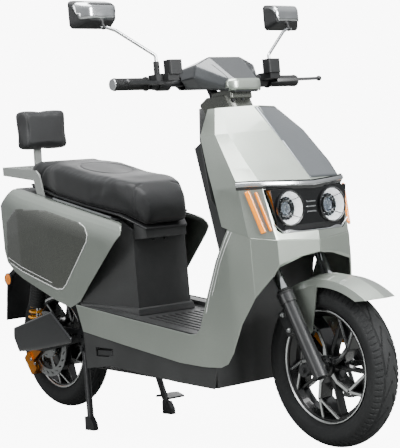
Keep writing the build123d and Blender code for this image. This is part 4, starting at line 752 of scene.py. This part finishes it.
flank_skin = surface_of(flanks)
apron_skin = surface_of(aprons)
FIELD = [(-609, 744), (-425, 729), (-237, 681), (-202, 664), (-188, 640), (-194, 618), (-330, 482),
         (-352, 468),
         (-384, 468), (-700, 558), (-722, 583), (-700, 700)]
fields = bmesh.new()
borders = bmesh.new()
apron_lines = bmesh.new()
for side in (-1, 1):
    inward = (0, -side, 0)
    outline = [(x, side * 260, z) for x, z in FIELD]
    film_area(fields, flank_skin, outline if side < 0 else outline[::-1], inward, 0.8, 8.0)
    film_line(borders, flank_skin, [(x, side * 260, z) for x, z in FIELD[2:-2]], 3.2, inward, 1.1)
    film_line(borders, flank_skin, [(x, side * 260, z) for x, z in (
        (-410, 489), (-560, 532), (-715, 577))], 2.2, inward, 1.1)
    rear_edge = [(505, 626), (449, 541), (402, 450), (378, 396)]
    film_line(apron_lines, apron_skin, [(x + 11, side * 260, z) for x, z in rear_edge], 2.6, inward, 0.4)
    short_line = [(x + 21, side * 260, z - 3) for x, z in rear_edge[:3]]
    film_line(apron_lines, apron_skin, short_line, 2.0, inward, 0.4)
# The grey sheets inside the borders are painted shade below the flanks' shoulders.
film_piece("grey_fields_on_flanks", fields, shadow_lacquer, "chassis")
film_piece("white_borders_on_flanks", borders, white_film, "chassis")
film_piece("white_lines_on_aprons", apron_lines, white_film, "chassis")

# ---- Headlamps, grille and signals
# Twin round projector lamps in a gloss black housing. Each has a black bezel, a white daylight cone
# split by four bars, a fluted bright bowl, a glass projector and a clear cover; ribbed amber signals.
piano_black = varied(
    new_material("piano black ABS", Coat_Weight=1.0, Coat_Roughness=0.03),
    "#08090a", "#0d0e0f", 8.0, 0.12, 0.01)
bright_plate = varied(
    new_material("vacuum metallised reflector", Metallic=1.0), "#d3d6d9", "#f0f2f3", 2.0, 0.09, 0.02)
satin_chrome = varied(new_material("satin chrome", Metallic=1.0), "#c8cbcd", "#e3e5e6", 1.0, 0.2, 0.02)
white_diffuser = varied(
    new_material("white light diffuser", Emission_Color=(1, 1, 1, 1), Emission_Strength=0.9, Coat_Weight=0.6),
    "#eef1f4", "#ffffff", 3.0, 0.3, 0.02)
clear_glass = varied(
    new_material("clear polycarbonate", Transmission_Weight=1.0, IOR=1.12),
    "#f4f8fa", "#ffffff", 30.0, 0.02, 0.0)
lens_glass = varied(
    new_material("projector glass", Transmission_Weight=0.85, IOR=1.45), "#aebcd0", "#dfe8f2", 4.0, 0.04, 0.0)
# The faint amber emission is a painted glow on the signal lenses and the rear side reflectors.
amber_lens = varied(
    new_material("amber polycarbonate with painted glow", Emission_Color=linear("#ff9410"), Emission_Strength=0.12,
                 Coat_Weight=1.0, Coat_Roughness=0.05), "#f57600", "#ff9a08", 2.4, 0.16, 0.35)
refined("lamp_housing", "lamp_housing_shell", 3.0, piano_black, "chassis", 3)
refined("front_signals", "front_signal_lenses", 3.0, amber_lens, "chassis", 3)


def cleaned(bm):
    """Closes the poles of turned shapes and points every face outwards."""
    bmesh.ops.remove_doubles(bm, verts=bm.verts, dist=2e-5)
    bmesh.ops.recalc_face_normals(bm, faces=bm.faces)
    return bm


def block(bm, centre, along, across, size):
    """A box at a centre, with its length, width and height in mm along its own axes."""
    along = Vector(along).normalized()
    across = Vector(across).normalized()
    rise = along.cross(across)
    corners = [bm.verts.new(
        Vector(centre) / 1000 + (along * size[0] * i + across * size[1] * j + rise * size[2] * k) / 2000)
        for i in (-1, 1) for j in (-1, 1) for k in (-1, 1)]
    for face in ((0, 1, 3, 2), (4, 6, 7, 5), (0, 4, 5, 1), (2, 3, 7, 6), (0, 2, 6, 4), (1, 5, 7, 3)):
        bm.faces.new([corners[i] for i in face])


bezels, cones, bowls, lenses, covers, bars = (bmesh.new() for _ in range(6))
for side in (-1, 1):
    centre = Vector((0.642, side * 0.081, 0.676))
    ahead = (1, 0, 0)
    turned_ring(bezels, centre, ahead, [
        (45.2, 6), (47.5, 9), (50.6, 7), (51, 2), (51, 0.6), (46.5, 0.6), (46.5, -34), (45.2, -34)], 96)
    turned_ring(bezels, centre, ahead, [(19, -12), (21, -10), (23, -12), (23, -30), (19, -30)], 64)
    turned_ring(cones, centre, ahead, [(44.9, 5.5), (33, -16), (33, -18), (44.9, -18)], 96)
    turned_ring(bowls, centre, ahead, [
        (32.8, -14), (30, -20), (26, -26), (23.2, -29), (23.2, -33), (32.8, -33)], 144, 18, 0.025)
    turned_ring(lenses, centre, ahead, [
        (0.01, -7), (6, -7.6), (12, -9.8), (16, -13.2), (18.8, -18), (18.8, -26), (0.01, -26)], 64)
    turned_ring(covers, centre, ahead, [
        (44.6, 6.2), (34, 8.4), (18, 10), (0.01, 10.6), (0.01, 9.2), (18, 8.6), (34, 7), (44.6, 5)], 96)
    for degrees in (40, 140, 220, 320):
        out = Vector((0, math.cos(math.radians(degrees)), math.sin(math.radians(degrees))))
        slope = (out * 11.9 + Vector((21.5, 0, 0))).normalized()
        middle = centre * 1000 + out * 39.2 + Vector((-4.5, 0, 0))
        block(bars, middle, slope, slope.cross(out), (24, 1.8, 2.2))
place_piece("headlamp_bezels", cleaned(bezels), piano_black, "chassis", ("headlamps",))
place_piece("daylight_cones", cleaned(cones), white_diffuser, "chassis")
place_piece("lamp_bowls", cleaned(bowls), bright_plate, "chassis")
place_piece("projector_lenses", cleaned(lenses), lens_glass, "chassis")
place_piece("lamp_covers", cleaned(covers), clear_glass, "chassis")
place_piece("daylight_dividers", cleaned(bars), piano_black, "chassis")

between = bmesh.new()
for rise in (-14, 0, 14):
    block(between, (644, 0, 676 + rise), (0, 1, 0), (0, 0, 1), (34, 3.4, 5))
edge_finish(place_piece("bars_between_lamps", cleaned(between), satin_chrome, "chassis"), 0.8)

stud = bmesh.new()
block(stud, (0, 0, 0.3), (1, 1, 0), (-1, 1, 0), (0.62, 0.62, 0.6))
stud_mesh = bpy.data.meshes.new("grille_stud")
cleaned(stud).to_mesh(stud_mesh)
stud.free()
places = []
for row in range(4):
    for k in range(-20, 21):
        places.append(((0.6418, (k + 0.5 * (row % 2)) * 0.0052, 0.6165 + row * 0.0034), (1, 0, 0), (0, 1, 0)))
repeated("grille_studs", stud_mesh, places, 5, moulded_black, "chassis")

lip = bmesh.new()
sections = []
for step in range(61):
    y = -138 + 276 * step / 60
    bulge = math.exp(-((abs(y) - 92) / 20) ** 2)
    low = 607.5 + max(0.0, abs(y) - 112) * 0.95
    high = low + 4.5 + 6.5 * bulge
    out = 651 - max(0.0, abs(y) - 60) * 0.10
    sections.append([lip.verts.new((x / 1000, y / 1000, z / 1000)) for x, z in (
        (641, low), (out - 2, low), (out, low + 1.6), (out - 1.2, high - 1), (out - 4, high), (641, high))])
for here, there in zip(sections, sections[1:]):
    for k in range(6):
        lip.faces.new((here[k], here[(k + 1) % 6], there[(k + 1) % 6], there[k]))
lip.faces.new(sections[0])
lip.faces.new(sections[-1][::-1])
place_piece("lamp_lower_lip", cleaned(lip), satin_chrome, "chassis")


def swept_bar(bm, points, section):
    """A bar with a section of (out, up) points in mm, swept along (x, y, z) points on a level bend."""
    rings = []
    for i, point in enumerate(points):
        run = Vector(points[min(i + 1, len(points) - 1)]) - Vector(points[max(i - 1, 0)])
        out = Vector((run.y, -run.x, 0)).normalized()
        rings.append([bm.verts.new((Vector(point) + out * o + Vector((0, 0, u))) / 1000) for o, u in section])
    count = len(section)
    for here, there in zip(rings, rings[1:]):
        for k in range(count):
            bm.faces.new((here[k], here[(k + 1) % count], there[(k + 1) % count], there[k]))
    bm.faces.new(rings[0])
    bm.faces.new(rings[-1][::-1])


TRIM_LINE = [(566, -203, 752), (592, -178, 751), (617, -150, 749), (640, -80, 745), (660, 0, 741),
             (640, 80, 745), (617, 150, 749), (592, 178, 751), (566, 203, 752)]
trim = bmesh.new()
swept_bar(trim, TRIM_LINE, [(-1, -7), (5, -6.5), (7, -3), (5, 5.5), (-1, 6.5)])
edge_finish(
    place_piece("trim_bar", cleaned(trim), satin_chrome, "chassis", ("lamp_trim",)), 1.2)
backing = bmesh.new()
swept_bar(backing, TRIM_LINE, [(-6, -15), (-1, -15), (2.5, -9.5), (2.5, 9.5), (-6, 9.5)])
place_piece("trim_bar_backing", cleaned(backing), piano_black, "chassis")

# ---- Handlebar cowl, neck and controls
# The cowl is gunmetal lacquered ABS with a silver nose plate. Grips are black rubber, ribbed and
# flanged; the masters, pods and levers are black, with screwed caps and grey rocker buttons.


def softened(node, name, voxel, rounds, material, body):
    """A CAD solid's moulded skin, remeshed and smoothed so that its facets run into one another."""
    piece = place_piece(name, cad_copy(node), material, body, (node,), smooth=60)
    remesh = piece.modifiers.new("remesh", "REMESH")
    remesh.mode = "VOXEL"
    remesh.voxel_size = voxel / 1000
    soften = piece.modifiers.new("soften", "SMOOTH")
    soften.iterations = rounds
    baked(piece)
    piece.data.polygons.foreach_set("use_smooth", [True] * len(piece.data.polygons))
    return piece


cowl = softened("handlebar_cowl", "bar_cowl", 3.0, 14, gunmetal_lacquer, "steering")
cowl_skin = surface_of(cowl)
nose = bmesh.new()
film_area(nose, cowl_skin, [
    (700, -62, 1054), (700, -55, 1060), (700, 55, 1060), (700, 68, 1029), (700, -64, 1029)],
    (-1, 0, 0), 3.2, 8.0)
film_piece("cowl_nose_plate", nose, silver_lacquer, "steering", 3.4)
seams = bmesh.new()
film_line(seams, cowl_skin, [(700, -55, 1062), (600, -62, 1090), (500, -70, 1112)], 1.6, (-1, 0, 0), 0.25)
film_line(seams, cowl_skin, [(700, 59, 1056), (700, 70, 1029)], 2.4, (-1, 0, 0), 3.5)
film_piece("cowl_seams", seams, moulded_black, "steering", 0.3)

refined("speedometer", "display_bezel", 2.5, moulded_black, "steering", 3)
display_glass = varied(
    new_material("tinted display glass", Coat_Weight=1.0, Coat_Roughness=0.03),
    "#0b1420", "#132033", 20.0, 0.1, 0.0)
segment_glow = varied(
    new_material("lit display segments", Emission_Color=linear("#bfe6ff"), Emission_Strength=1.4),
    "#cfe9f8", "#e8f6ff", 4.0, 0.4, 0.0)
panel = bmesh.new()
lit = bmesh.new()
meter_skin = surface_of(bpy.data.objects["display_bezel"])
film_area(panel, meter_skin, [
    (100, -53, 1080), (100, 53, 1080), (100, 53, 1108), (100, -53, 1108)], (1, 0, 0), 0.5, 20.0)
for y in (-26, -8):
    for z in (1087, 1094, 1101):
        film_line(lit, meter_skin, [(100, y - 4, z), (100, y + 4, z)], 1.6, (1, 0, 0), 0.9)
    for dy in (-5, 5):
        film_line(lit, meter_skin, [(100, y + dy, 1088), (100, y + dy, 1100)], 1.6, (1, 0, 0), 0.9)
for k in range(6):
    bar = [(100, 14 + 5 * k, 1087), (100, 14 + 5 * k, 1090 + 2 * k)]
    film_line(lit, meter_skin, bar, 3.0, (1, 0, 0), 0.9)
film_piece("display_panel", panel, display_glass, "steering", 0.4)
film_piece("display_segments", lit, segment_glow, "steering", 0.2)

neck_skin = surface_of(bpy.data.objects["neck_cover_panel"])
fittings = bmesh.new()
for y, z, r in ((-29, 1003, 9.0), (1, 1003, 3.2)):
    hit = laid_on(neck_skin, (0.7, y / 1000, z / 1000), (-1, 0, 0), 0.0)
    if hit is not None:
        turned_ring(fittings, hit, (1, 0, 0.2), [
            (0.01, 0.6), (r - 2, 0.6), (r - 1.4, 2.4), (r, 2.4), (r, -3), (0.01, -3)], 40)
hit = laid_on(neck_skin, (0.7, 0.004, 1.003), (-1, 0, 0), 0.0)
if hit is not None:
    block(fittings, hit * 1000, (0, 0, 1), (0, 1, 0), (16, 5, 4))
place_piece("neck_port_and_slot", cleaned(fittings), moulded_black, "steering")

grip_profile = [(11.6, 0), (21, 0), (21, 4.5), (19, 6), (16.4, 7)]
for k in range(18):
    grip_profile += [(17.8, 9 + 5.6 * k), (17.8, 12.4 + 5.6 * k), (16.6, 13.2 + 5.6 * k)]
grip_profile += [(18.6, 111), (18.6, 116), (17, 117), (11.6, 117)]
grip_rubber = varied(
    new_material("moulded grip rubber", Specular_IOR_Level=0.3), "#161617", "#242525", 1.2, 0.62, 0.1)
for node, name, side, body in (
        ("grip_left", "grip_sleeve_left", 1, "steering"),
        ("throttle_grip", "grip_sleeve_right", -1, "throttle")):
    sleeve = bmesh.new()
    turned_ring(sleeve, (0.244, side * 0.235, 1.070), (0, side, 0), grip_profile, 96, 24, 0.012)
    place_piece(name, cleaned(sleeve), grip_rubber, body, (node,))
refined("bar_ends", "bar_end_caps", 1.6, satin_chrome, "steering", 3)
refined("brake_masters", "master_cylinders", 2.5, moulded_black, "steering", 3)
refined("switch_pods", "switch_housings", 0.8, moulded_black, "steering")
for node, body in (("brake_lever_left", "lever_left"), ("brake_lever_right", "lever_right")):
    refined(node, node + "_blade", 2.2, fork_paint, body, 3)
button_grey = varied(
    new_material("moulded grey ABS", Specular_IOR_Level=0.45), "#4b4c4e", "#5c5d5f", 1.0, 0.45, 0.08)
refined("horn_button", "horn_button_cap", 0.6, button_grey, "horn_push")
refined("start_button", "start_button_cap", 0.6, button_grey, "start_push")
refined("key_switch", "key_and_barrel", 0.6, satin_chrome, "key")
places = []
for side in (-1, 1):
    for dy in (-15, 15):
        places.append(((0.309 + dy * 0.0006, side * (0.191 + dy / 1000), 1.130), (0, 0, 1), (1, 0, 0)))
repeated("reservoir_screws", button_screw, places, 6, zinc_steel, "steering")

# ---- Mirrors
# Polished steel stems carry black ABS heads. A bright panel covers each head's front, and a
# first-surface mirror glass lies in the side towards the rider.
mirror_glass = varied(new_material("mirror glass", Metallic=1.0), "#dfe4e8", "#f2f5f7", 30.0, 0.03, 0.0)
FRONT_PANEL = ((318, 1262), (306, 1304), (322, 1312), (424, 1312), (438, 1300), (424, 1262))
GLASS = (
    (320, 1236), (306, 1262), (308, 1302), (322, 1312), (424, 1312), (438, 1302), (440, 1262), (426, 1236))
for side, label in ((1, "left"), (-1, "right")):
    head = f"mirror_{label}"
    refined(
        f"mirror_stem_{label}", f"mirror_stem_{label}_rod", 1.0, satin_chrome, f"mirror_arm_{label}")
    shell = softened(
        f"mirror_head_{label}", f"mirror_shell_{label}", 2.6, 14, moulded_black, head)
    skin = surface_of(shell)
    bright = bmesh.new()
    film_area(bright, skin, [(500, side * y, z) for y, z in FRONT_PANEL], (-1, 0, 0), 1.4, 9.0)
    film_piece(f"mirror_front_panel_{label}", bright, satin_chrome, head, 1.6)
    glass = bmesh.new()
    film_area(glass, skin, [(0, side * y, z) for y, z in GLASS], (1, 0, 0), 0.8, 9.0)
    film_piece(f"mirror_glass_{label}", glass, mirror_glass, head, 1.0)

# ---- Seat and backrest pad
# Moulded foam under black grained leatherette. Each is swelled as cloth over the foam's own shape,
# then the seams are pressed in: at the nose's corners, round the top panel and across the rear.
leatherette = varied(
    new_material("black grained leatherette", Specular_IOR_Level=0.4, Sheen_Weight=0.12, Sheen_Roughness=0.5),
    "#141516", "#202122", 2.2, 0.5, 0.3)


def upholstered(node, name, voxel, shrink, cap, round_off, body):
    """A foam solid's cover: shrunk, remeshed, swelled by cloth pressure, and kept inside the solid's box."""
    low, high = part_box(node)
    middle = (low + high) / 2
    piece = place_piece(name, cad_copy(node), leatherette, body, (node,), smooth=60)
    for vert in piece.data.vertices:
        vert.co = middle + (vert.co - middle) * shrink
    edges = piece.modifiers.new("edges", "BEVEL")
    edges.width = round_off / 1000
    edges.segments = 5
    edges.limit_method = "ANGLE"
    edges.angle_limit = math.radians(24)
    remesh = piece.modifiers.new("remesh", "REMESH")
    remesh.mode = "VOXEL"
    remesh.voxel_size = voxel / 1000
    soften = piece.modifiers.new("soften", "SMOOTH")
    soften.iterations = 6
    baked(piece)
    start = [vert.co.copy() for vert in piece.data.vertices]
    cloth = piece.modifiers.new("cloth", "CLOTH")
    cloth.settings.use_pressure = True
    cloth.settings.uniform_pressure_force = 4.0
    cloth.settings.quality = 5
    cloth.settings.effector_weights.gravity = 0.0
    for step in range(1, 21):
        bpy.context.scene.frame_set(step)
    baked(piece)
    bpy.context.scene.frame_set(1)
    for vert, begun in zip(piece.data.vertices, start):
        move = vert.co - begun
        if move.length > cap / 1000:
            move *= cap / 1000 / move.length
        vert.co = begun + move
    taut = piece.modifiers.new("taut", "SMOOTH")
    taut.iterations = 16
    baked(piece)
    for vert in piece.data.vertices:
        for axis in range(3):
            vert.co[axis] = min(max(vert.co[axis], low[axis] - 0.002), high[axis] + 0.002)
    return piece


def pressed_seam(piece, path, depth, width):
    """Presses a seam into a piece along a closely spaced path of points in mm, at its nearest skin."""
    tree = BVHTree.FromObject(piece, bpy.context.evaluated_depsgraph_get())
    marks = [tree.find_nearest(Vector(p) / 1000)[0] for p in path]
    for vert in piece.data.vertices:
        near = min((vert.co - mark).length for mark in marks) * 1000
        if near < width * 2.5:
            vert.co -= vert.normal * depth / 1000 * math.exp(-(near / width) ** 2)


def along(points, step=3.0):
    """Points at even steps along a path."""
    path = []
    for start, end in zip(points, points[1:]):
        run = Vector(end) - Vector(start)
        count = max(1, round(run.length / step))
        path += [Vector(start) + run * i / count for i in range(count)]
    return path


def smoothed(piece):
    subdivision = piece.modifiers.new("subdivision", "SUBSURF")
    subdivision.levels = subdivision.render_levels = 1
    baked(piece)
    piece.data.polygons.foreach_set("use_smooth", [True] * len(piece.data.polygons))
    return piece


seat = smoothed(upholstered("seat_cushion", "seat_cover", 6.0, 0.99, 9, 26, "seat"))
oval = [(-330 + 100 * math.cos(t * math.pi / 24), 84 * math.sin(t * math.pi / 24), 850) for t in range(49)]
NOSE_SEAM = ((-52, 106, 668), (-52, 104, 720), (-52, 96, 770), (-52, 60, 800))
REAR_SEAM = ((-560, 150, 812), (-535, 146, 850), (-500, 130, 886), (-478, 90, 900))
seams = [oval]
for line in (NOSE_SEAM, REAR_SEAM):
    seams += [[(x, side * y, z) for x, y, z in line] for side in (-1, 1)]
for path in seams:
    pressed_seam(seat, along(path), 2.2, 4.5)
pad = smoothed(upholstered("backrest_pad", "backrest_cover", 4.5, 0.96, 5, 24, "chassis"))
for side in (-1, 1):
    line = [(-672, side * 74, 950), (-670, side * 76, 1015), (-672, side * 74, 1080)]
    pressed_seam(pad, along(line), 1.8, 3.5)

# ---- Rail, rear lamps, shock absorbers and rear cover
# The rail is flat aluminium, sprayed satin silver. Springs are wound steel enamelled yellow, over
# chromed rods with black upper bodies, and the cover of the rear arm is graphite lacquered ABS.
satin_silver = lacquer("satin silver paint on aluminium", "#b4b8b4", "#cdd1cc", 0.6, 0.38)
refined("grab_rail", "grab_rail_bar", 1.8, satin_silver, "chassis", 3)
red_lens = varied(
    new_material("red polycarbonate", Coat_Weight=1.0, Coat_Roughness=0.05),
    "#8f0a0a", "#b51212", 2.4, 0.16, 0.35)
bm = cad_copy("rear_lamps")
far = [face for face in bm.faces if face.calc_center_median().x < -0.84]
bmesh.ops.delete(bm, geom=far, context="FACES")
edge_finish(place_piece("rear_lamp_lens", bm, red_lens, "chassis", ("rear_lamps",)), 2.5)
discs = bmesh.new()
rims = bmesh.new()
for side in (-1, 1):
    spot = Vector((-0.868, side * 0.0906, 0.494))
    turned_ring(discs, spot, (0, side, 0), [(0.01, 7), (12, 6.4), (19.4, 4.6), (19.4, 0.4), (0.01, 0.4)], 48)
    turned_ring(rims, spot, (0, side, 0), [(19.6, 0), (19.6, 5), (21, 6.4), (22, 5), (22, 0)], 48)
# The reflectors' amber carries the lens material's faint painted glow.
place_piece("rear_side_reflectors", cleaned(discs), amber_lens, "chassis")
place_piece("reflector_rims", cleaned(rims), moulded_black, "chassis")

enamel = varied(
    new_material("yellow enamel on spring steel", Coat_Weight=0.6, Coat_Roughness=0.08),
    "#d98a06", "#f0a80f", 3.0, 0.26, 0.04)
refined("shock_tops", "shock_upper_bodies", 1.5, fork_paint, "chassis", 2)
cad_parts["shock_rods"].data.materials.clear()
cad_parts["shock_rods"].data.materials.append(hard_chrome)
SPRING_TOP = Vector((-0.5918, 0, 0.541))
SPRING_FOOT = Vector((-0.6640, 0, 0.350))
lean = (SPRING_TOP - SPRING_FOOT).normalized()
for side, label in ((1, "left"), (-1, "right")):
    coil = bmesh.new()
    length = (SPRING_TOP - SPRING_FOOT).length - 0.010
    out = Vector((0, 1, 0))
    other = lean.cross(out)
    rings = []
    turns, steps = 9.5, 320
    for step in range(steps + 1):
        t = step / steps
        angle = 2 * math.pi * turns * t
        radial = out * math.cos(angle) + other * math.sin(angle)
        centre = SPRING_FOOT + Vector((0, side * 0.124, 0)) + lean * (0.005 + length * t) + radial * 0.0205
        rings.append([coil.verts.new(
            centre + radial * (math.cos(a) * 0.0038) + lean * (math.sin(a) * 0.0038))
            for a in [2 * math.pi * k / 10 for k in range(10)]])
    for here, there in zip(rings, rings[1:]):
        for k in range(10):
            coil.faces.new((here[k], here[(k + 1) % 10], there[(k + 1) % 10], there[k]))
    coil.faces.new(rings[0][::-1])
    coil.faces.new(rings[-1])
    spring = place_piece(f"spring_coil_{label}", cleaned(coil), enamel, "chassis",
                         ("shock_springs",) if side > 0 else ())
    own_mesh(spring)
boots = bmesh.new()
for side in (-1, 1):
    profile = [(25.4, -2), (25.4, -148)]
    for k in range(14):
        profile += [(28.0, -147 + 10 * k), (28.0, -142 + 10 * k), (26.4, -139.5 + 10 * k)]
    turned_ring(boots, SPRING_TOP + Vector((0, side * 0.124, 0)), lean, profile, 40)
place_piece("shock_dust_boots", cleaned(boots), seal_rubber, "chassis")

graphite_lacquer = lacquer("graphite metallic lacquer on ABS", "#232426", "#35373a", 0.5, 0.25)
softened("swingarm_cover", "rear_arm_cover", 3.0, 9, graphite_lacquer, "rear_arm")

# ---- Fasteners, pegs, controller and floor ribs
# Zinc plated button screws hold the fender. The pegs are black painted bars, the controller's cast case
# is finned, and the floor has raised rubber ribs.
places = []
for x, z in ((625.2, 339.4), (603.4, 382.2)):
    for side in (-1, 1):
        places.append(((x / 1000, side * 0.107, z / 1000), (0, side, 0), (1, 0, 0)))
repeated("fender_screws", button_screw, places, 13, zinc_steel, "fork_lowers")
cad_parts["fender_bolts"].data.materials.clear()
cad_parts["fender_bolts"].data.materials.append(zinc_steel)
for side, label in ((1, "left"), (-1, "right")):
    refined(f"footpeg_{label}", f"footpeg_{label}_bar", 1.6, fork_paint, f"peg_{label}")
cast_alloy = varied(new_material("cast aluminium", Metallic=0.9), "#8b8d8f", "#a4a6a8", 1.6, 0.45, 0.2)
refined("controller", "controller_case", 2.0, cast_alloy, "chassis")
fins = bmesh.new()
for k in range(9):
    block(fins, (-312, -48 + 12 * k, 395.5), (1, 0, 0), (0, 1, 0), (96, 3, 5))
edge_finish(place_piece("controller_fins", cleaned(fins), cast_alloy, "chassis"), 0.6)

floor_skin = surface_of(bpy.data.objects["floorboard_tray"])
ribs = bmesh.new()
for k in range(-5, 6):
    film_line(ribs, floor_skin, [(-20, 26 * k, 700), (268, 26 * k, 700)], 9, (0, 0, -1), 1.8, 20.0)
edge_finish(film_piece("floor_ribs", ribs, seal_rubber, "chassis", 2.2), 0.6, 1)

# ---- Shadow sheets, skirt, strips and plinth round the seat box
# Black sheets close the gap between the seat and the flanks, as painted shadow in that gap. A skirt under the
# nose hides the hinge, satin strips run below the seat, and a flared plinth stands where the box meets the
# floor.


SEAT_SLOPE, NOSE_SLOPE, FLOOR_SLOPE = 0.2425, 0.6, 0.1414


def seat_base_z(x):
    """Height of the seat's underside in mm, which climbs to the rear and drops at the nose."""
    return 688 + SEAT_SLOPE * (-97 - x) if x < -110 else 691 - NOSE_SLOPE * (x + 110)


def floor_top_z(x):
    """Height of the floor's top in mm, which climbs to the rear."""
    return 334 + FLOOR_SLOPE * (307 - x)


def closed_sweep(bm, sections):
    """Joins equal outlines of vertices into one closed bar."""
    count = len(sections[0])
    for here, there in zip(sections, sections[1:]):
        for k in range(count):
            bm.faces.new((here[k], here[(k + 1) % count], there[(k + 1) % count], there[k]))
    bm.faces.new(sections[0])
    bm.faces.new(sections[-1][::-1])
    return cleaned(bm)


# Black sheets just under the seat: painted shadow in the gap between the seat and the panels below it.
SHADOW_SHEETS = (
    [(-108, 92), (-108, 153), (-430, 153), (-430, 92)],
    [(-108, -92), (-108, -153), (-430, -153), (-430, -92)],
    [(-430, -153), (-430, 153), (-560, 153), (-560, -153)],
    [(-560, -148), (-560, 148), (-730, 112), (-730, -112)],
)
shadow_sheet = bmesh.new()
for outline in SHADOW_SHEETS:
    top = [shadow_sheet.verts.new((x / 1000, y / 1000, (seat_base_z(max(x, -660)) - 9) / 1000)) for x, y in outline]
    foot = [shadow_sheet.verts.new((v.co.x, v.co.y, v.co.z - 0.003)) for v in top]
    shadow_sheet.faces.new(top)
    shadow_sheet.faces.new(foot[::-1])
    for k in range(4):
        shadow_sheet.faces.new((top[k], foot[k], foot[(k + 1) % 4], top[(k + 1) % 4]))
place_piece("deck_under_seat", cleaned(shadow_sheet), moulded_black, "chassis")

skirt = bmesh.new()
wall = []
for x, y in ((-66, 100), (-40, 88), (-31, 78), (-29, 40), (-29, -40), (-31, -78), (-40, -88), (-66, -100)):
    inner_x, inner_y, rim = x - 3, y - math.copysign(3, y), seat_base_z(x) - 0.5
    wall.append([skirt.verts.new((a / 1000, b / 1000, z / 1000)) for a, b, z in (
        (x, y, rim), (x, y, 613), (inner_x, inner_y, 613), (inner_x, inner_y, rim))])
skirt_piece = place_piece(
    "seat_nose_skirt", closed_sweep(skirt, wall), moulded_grey, "seat", smooth=50)
edge_finish(skirt_piece, 0.8)

strips = bmesh.new()
for side in (-1, 1):
    line = [(x, side * 151, seat_base_z(x) - 3) for x in (-431, -350, -270, -190, -112)]
    swept_bar(strips, line if side < 0 else line[::-1], [(0, -3.5), (5, -3), (5.6, 0), (5, 3), (0, 3.5)])
place_piece("seat_trim_strips", cleaned(strips), satin_chrome, "chassis")

plinth = bmesh.new()
wall = []
for x, y in ((-266, 190), (-122, 125), (-66, 107), (-66, -107), (-122, -125), (-266, -190)):
    floor = floor_top_z(x)
    side = math.copysign(1, y)
    wall.append([
        plinth.verts.new(((x + a) / 1000, (y + side * b) / 1000, (floor + c) / 1000))
        for a, b, c in ((0, 0, 9), (3, 3, 5), (6, 6, -14.5), (-4, -4, -14.5), (-4, -4, 9))])
plinth_piece = place_piece(
    "seat_box_plinth", closed_sweep(plinth, wall), moulded_grey, "chassis")
edge_finish(plinth_piece, 1.0)

backs = bmesh.new()
for side in (-1, 1):
    block(backs, (-145, side * 175.5, 264), (1, 0, 0), (0, 1, 0), (116, 2, 36))
place_piece("peg_recess_backs", cleaned(backs), moulded_black, "chassis")
# The neck collar carries the neck up into the cowl; its darker grey is painted shade under the cowl.
collar = bmesh.new()
block(collar, (346, 0, 1019), (1, 0, 0.08), (0, 1, 0), (92, 82, 34))
edge_finish(place_piece("neck_collar", cleaned(collar), shadow_lacquer, "steering"), 5.0, 3)
